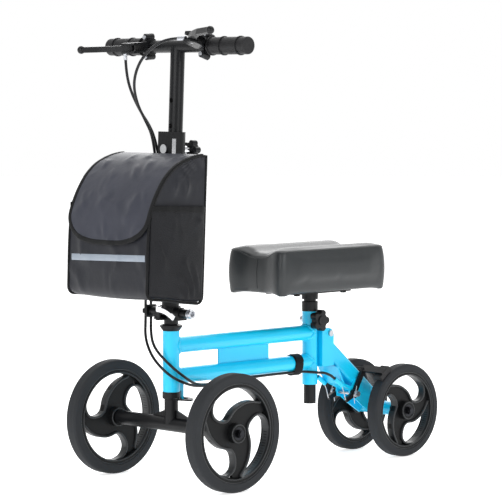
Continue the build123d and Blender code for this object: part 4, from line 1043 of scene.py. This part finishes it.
WHEELS = {
    "front_left": (153.0, -226.7, 101.6, 15.6, 124.0, 1),
    "front_right": (-153.0, -226.7, 101.6, 15.6, 151.7, 1),
    "rear_left": (64.0, 296.7, 86.0, 13.3, 45.0, -1),
    "rear_right": (-64.0, 296.7, 86.0, 13.3, 100.0, -1),
}
RIB_WIDTH, RIB_DEPTH = 4.0, 15.5


def wheel_place(wheel, out, ahead, up):
    """A place on a wheel: out from its middle plane, and from its axle towards the back and up, in mm."""
    x, y, radius = WHEELS[wheel][:3]
    return mm(x + out, y + ahead, radius + up)


def circle_on(wheel, out, radius, steps=72):
    """Places round a wheel at one radius and one distance from its middle plane."""
    return [wheel_place(wheel, out, radius * cos(2 * pi * k / steps), radius * sin(2 * pi * k / steps))
            for k in range(steps)]


def joined(pieces, name):
    """Several pieces made into one object."""
    choose(*pieces)
    bpy.ops.object.join()
    pieces[0].name = name
    pieces[0].data.name = name
    return pieces[0]


# %% Ribs and raised rings
# the raised ribs and rings get a lighter grey than the rim, a painted highlight for the light their edges catch;
# they are also a little smoother and shinier than the floors of the pockets between them
rib_nylon, tree, shader = finish("rubbed_rim_nylon", 0.4, Specular_IOR_Level=0.4)
places, cloud = mottled(tree, shader, "232527", "2e3032", 40)
noisy(tree, shader, places, 1.0, 0.06, 3.0)
SIDEWAYS = Vector((1, 0, 0))
RING_OUT, HUB_RING, HUB_RING_OUT = 10.4, 15.2, 14.4
for wheel, (x, y, radius, depth, phase, turn) in WHEELS.items():
    rim = radius - depth
    scale = rim / COMMA_SCALE
    parts = []
    for third in range(3):
        flat = []
        for reach, lag in comma():
            angle = radians(phase + 120 * third - turn * lag)
            flat.append((reach * scale * cos(angle), reach * scale * sin(angle)))
        area = sum(a[0] * b[1] - b[0] * a[1] for a, b in zip(flat, flat[1:] + flat[:1]))
        line = []
        for k, (a, b) in enumerate(flat):
            before, after = flat[k - 1], flat[(k + 1) % len(flat)]
            run = hypot(after[0] - before[0], after[1] - before[1])
            out = RIB_WIDTH / 2 * (1 if area > 0 else -1) / run
            line.append(wheel_place(wheel, 0, a + (after[1] - before[1]) * out, b - (after[0] - before[0]) * out))
        parts.append(band("rib", line, [SIDEWAYS] * len(line), rounded(RIB_WIDTH, RIB_DEPTH, 1.6, 4), rib_nylon,
                          closed=True))
    for side in (-1, 1):
        for reach, out, size in ((rim - 1.2, RING_OUT, 2.6), (rim * 0.9 + 1.4, RING_OUT, 2.4),
                                 (HUB_RING, HUB_RING_OUT, 2.6)):
            line = circle_on(wheel, side * out, reach)
            parts.append(band("ring", line, [SIDEWAYS] * len(line), rounded(size, size, size / 2 - 0.05, 3),
                              rib_nylon, closed=True))
    ribs = joined(parts, wheel + "_rim_ribs")
    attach(ribs, wheel + "_wheel")
    print(ribs.name, len(ribs.data.polygons), "faces")

# %% [markdown]
# ## Welds on the frame
# The frame's tubes are joined by weld beads: a row of overlapping puddles, each about 4 mm long, that
# follows the saddle line where a round tube meets another. Paint rounds them off. The bead is a round
# cord whose thickness swells and shrinks along its length. Each level tube has one at both its ends.

# %% Weld beads
TUBE, PUDDLE, BEAD_STEPS, BEAD_LIFT = 14.0, 2.6, 150, 0.6
BEAD = rounded(4.6, 4.2, 1.9, 3)


def weld(wall_y, wall_radius, side, height):
    """A bead where a level tube at this height meets an upright tube whose middle is at wall_y."""
    line, outs = [], []
    for k in range(BEAD_STEPS):
        angle = 2 * pi * k / BEAD_STEPS
        x, z = TUBE * cos(angle), TUBE * sin(angle)
        y = wall_y + side * sqrt(max(0.0, wall_radius ** 2 - x * x))
        line.append(mm(x, y + side * BEAD_LIFT, height + z))
        outs.append(Vector((cos(angle), side * BEAD_LIFT, sin(angle))).normalized())
    bead = band("bead", line, outs, BEAD, blue_powder_coat, closed=True)
    points = bead.data.vertices
    travelled = 0.0
    for k, here in enumerate(line):
        travelled += (here - line[k - 1]).length / MM if k else 0
        swell = 0.82 + 0.3 * abs(sin(pi * travelled / PUDDLE / 1.6))
        for j in range(k * len(BEAD), min((k + 1) * len(BEAD), len(points))):
            points[j].co = here + (points[j].co - here) * swell
    return bead


TUBE_HEIGHTS, HEAD, SEAT_POST = (239, 185.5), (-228, 14.5, 1), (115, 14.0, -1)
beads = [weld(*wall, height) for wall in (HEAD, SEAT_POST) for height in TUBE_HEIGHTS]
frame_welds = joined(beads, "frame_weld_beads")
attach(frame_welds, "frame")
print("weld beads:", len(beads))

# %% [markdown]
# ## Brake springs and inner wires
# Each rear brake arm is pushed off its tyre by a torsion spring, a few turns of steel wire round the
# pivot with a leg at each end. The bare inner wire of the cable runs from the end of the sheath to the
# arm's clamp bolt. Both are round wire carried along a line of points.

# %% Springs and wires
def wire(name, line, thickness):
    """A round wire of bright steel along a line of places."""
    outs = []
    for k in range(len(line)):
        ahead = (line[min(k + 1, len(line) - 1)] - line[max(k - 1, 0)]).normalized()
        helper = Vector((0, 0, 1)) if abs(ahead.z) < 0.9 else Vector((1, 0, 0))
        outs.append(ahead.cross(helper).cross(ahead).normalized())
    made = band(name, line, outs, rounded(thickness, thickness, thickness / 2 - 0.01, 3), zinc_steel)
    return made


PIVOT_Y, PIVOT_Z, SPRING_INNER = 209.5, 120.0, 25.8
springs, wires = [], []
for side in (-1, 1):
    coil = []
    turns, steps = 4, 20
    for k in range(turns * steps + 1):
        angle = radians(200) + 2 * pi * k / steps
        coil.append(mm(side * (SPRING_INNER + 4.6 * k / (turns * steps)), PIVOT_Y + 5.2 * cos(angle),
                       PIVOT_Z + 5.2 * sin(angle)))
    first, last = coil[0], coil[-1]
    coil = [first + mm(0, 3, -16), first + mm(0, 1.2, -8)] + coil + [last + mm(0, 1, 8), last + mm(0, 3, 17)]
    springs.append(wire("spring", coil, 1.3))
    wires.append(wire("wire", [mm(side * 22, 168, 144.9), mm(side * 22, 176, 138), mm(side * 22, 182, 126),
                               mm(side * 22, 187, 110)], 1.8))
brake_spring = joined(springs, "rear_brake_springs")
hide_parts("brake_springs")
brake_wire = joined(wires, "rear_brake_inner_wires")
for made in (brake_spring, brake_wire):
    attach(made, "frame")
print("springs and wires:", len(springs) + len(wires))
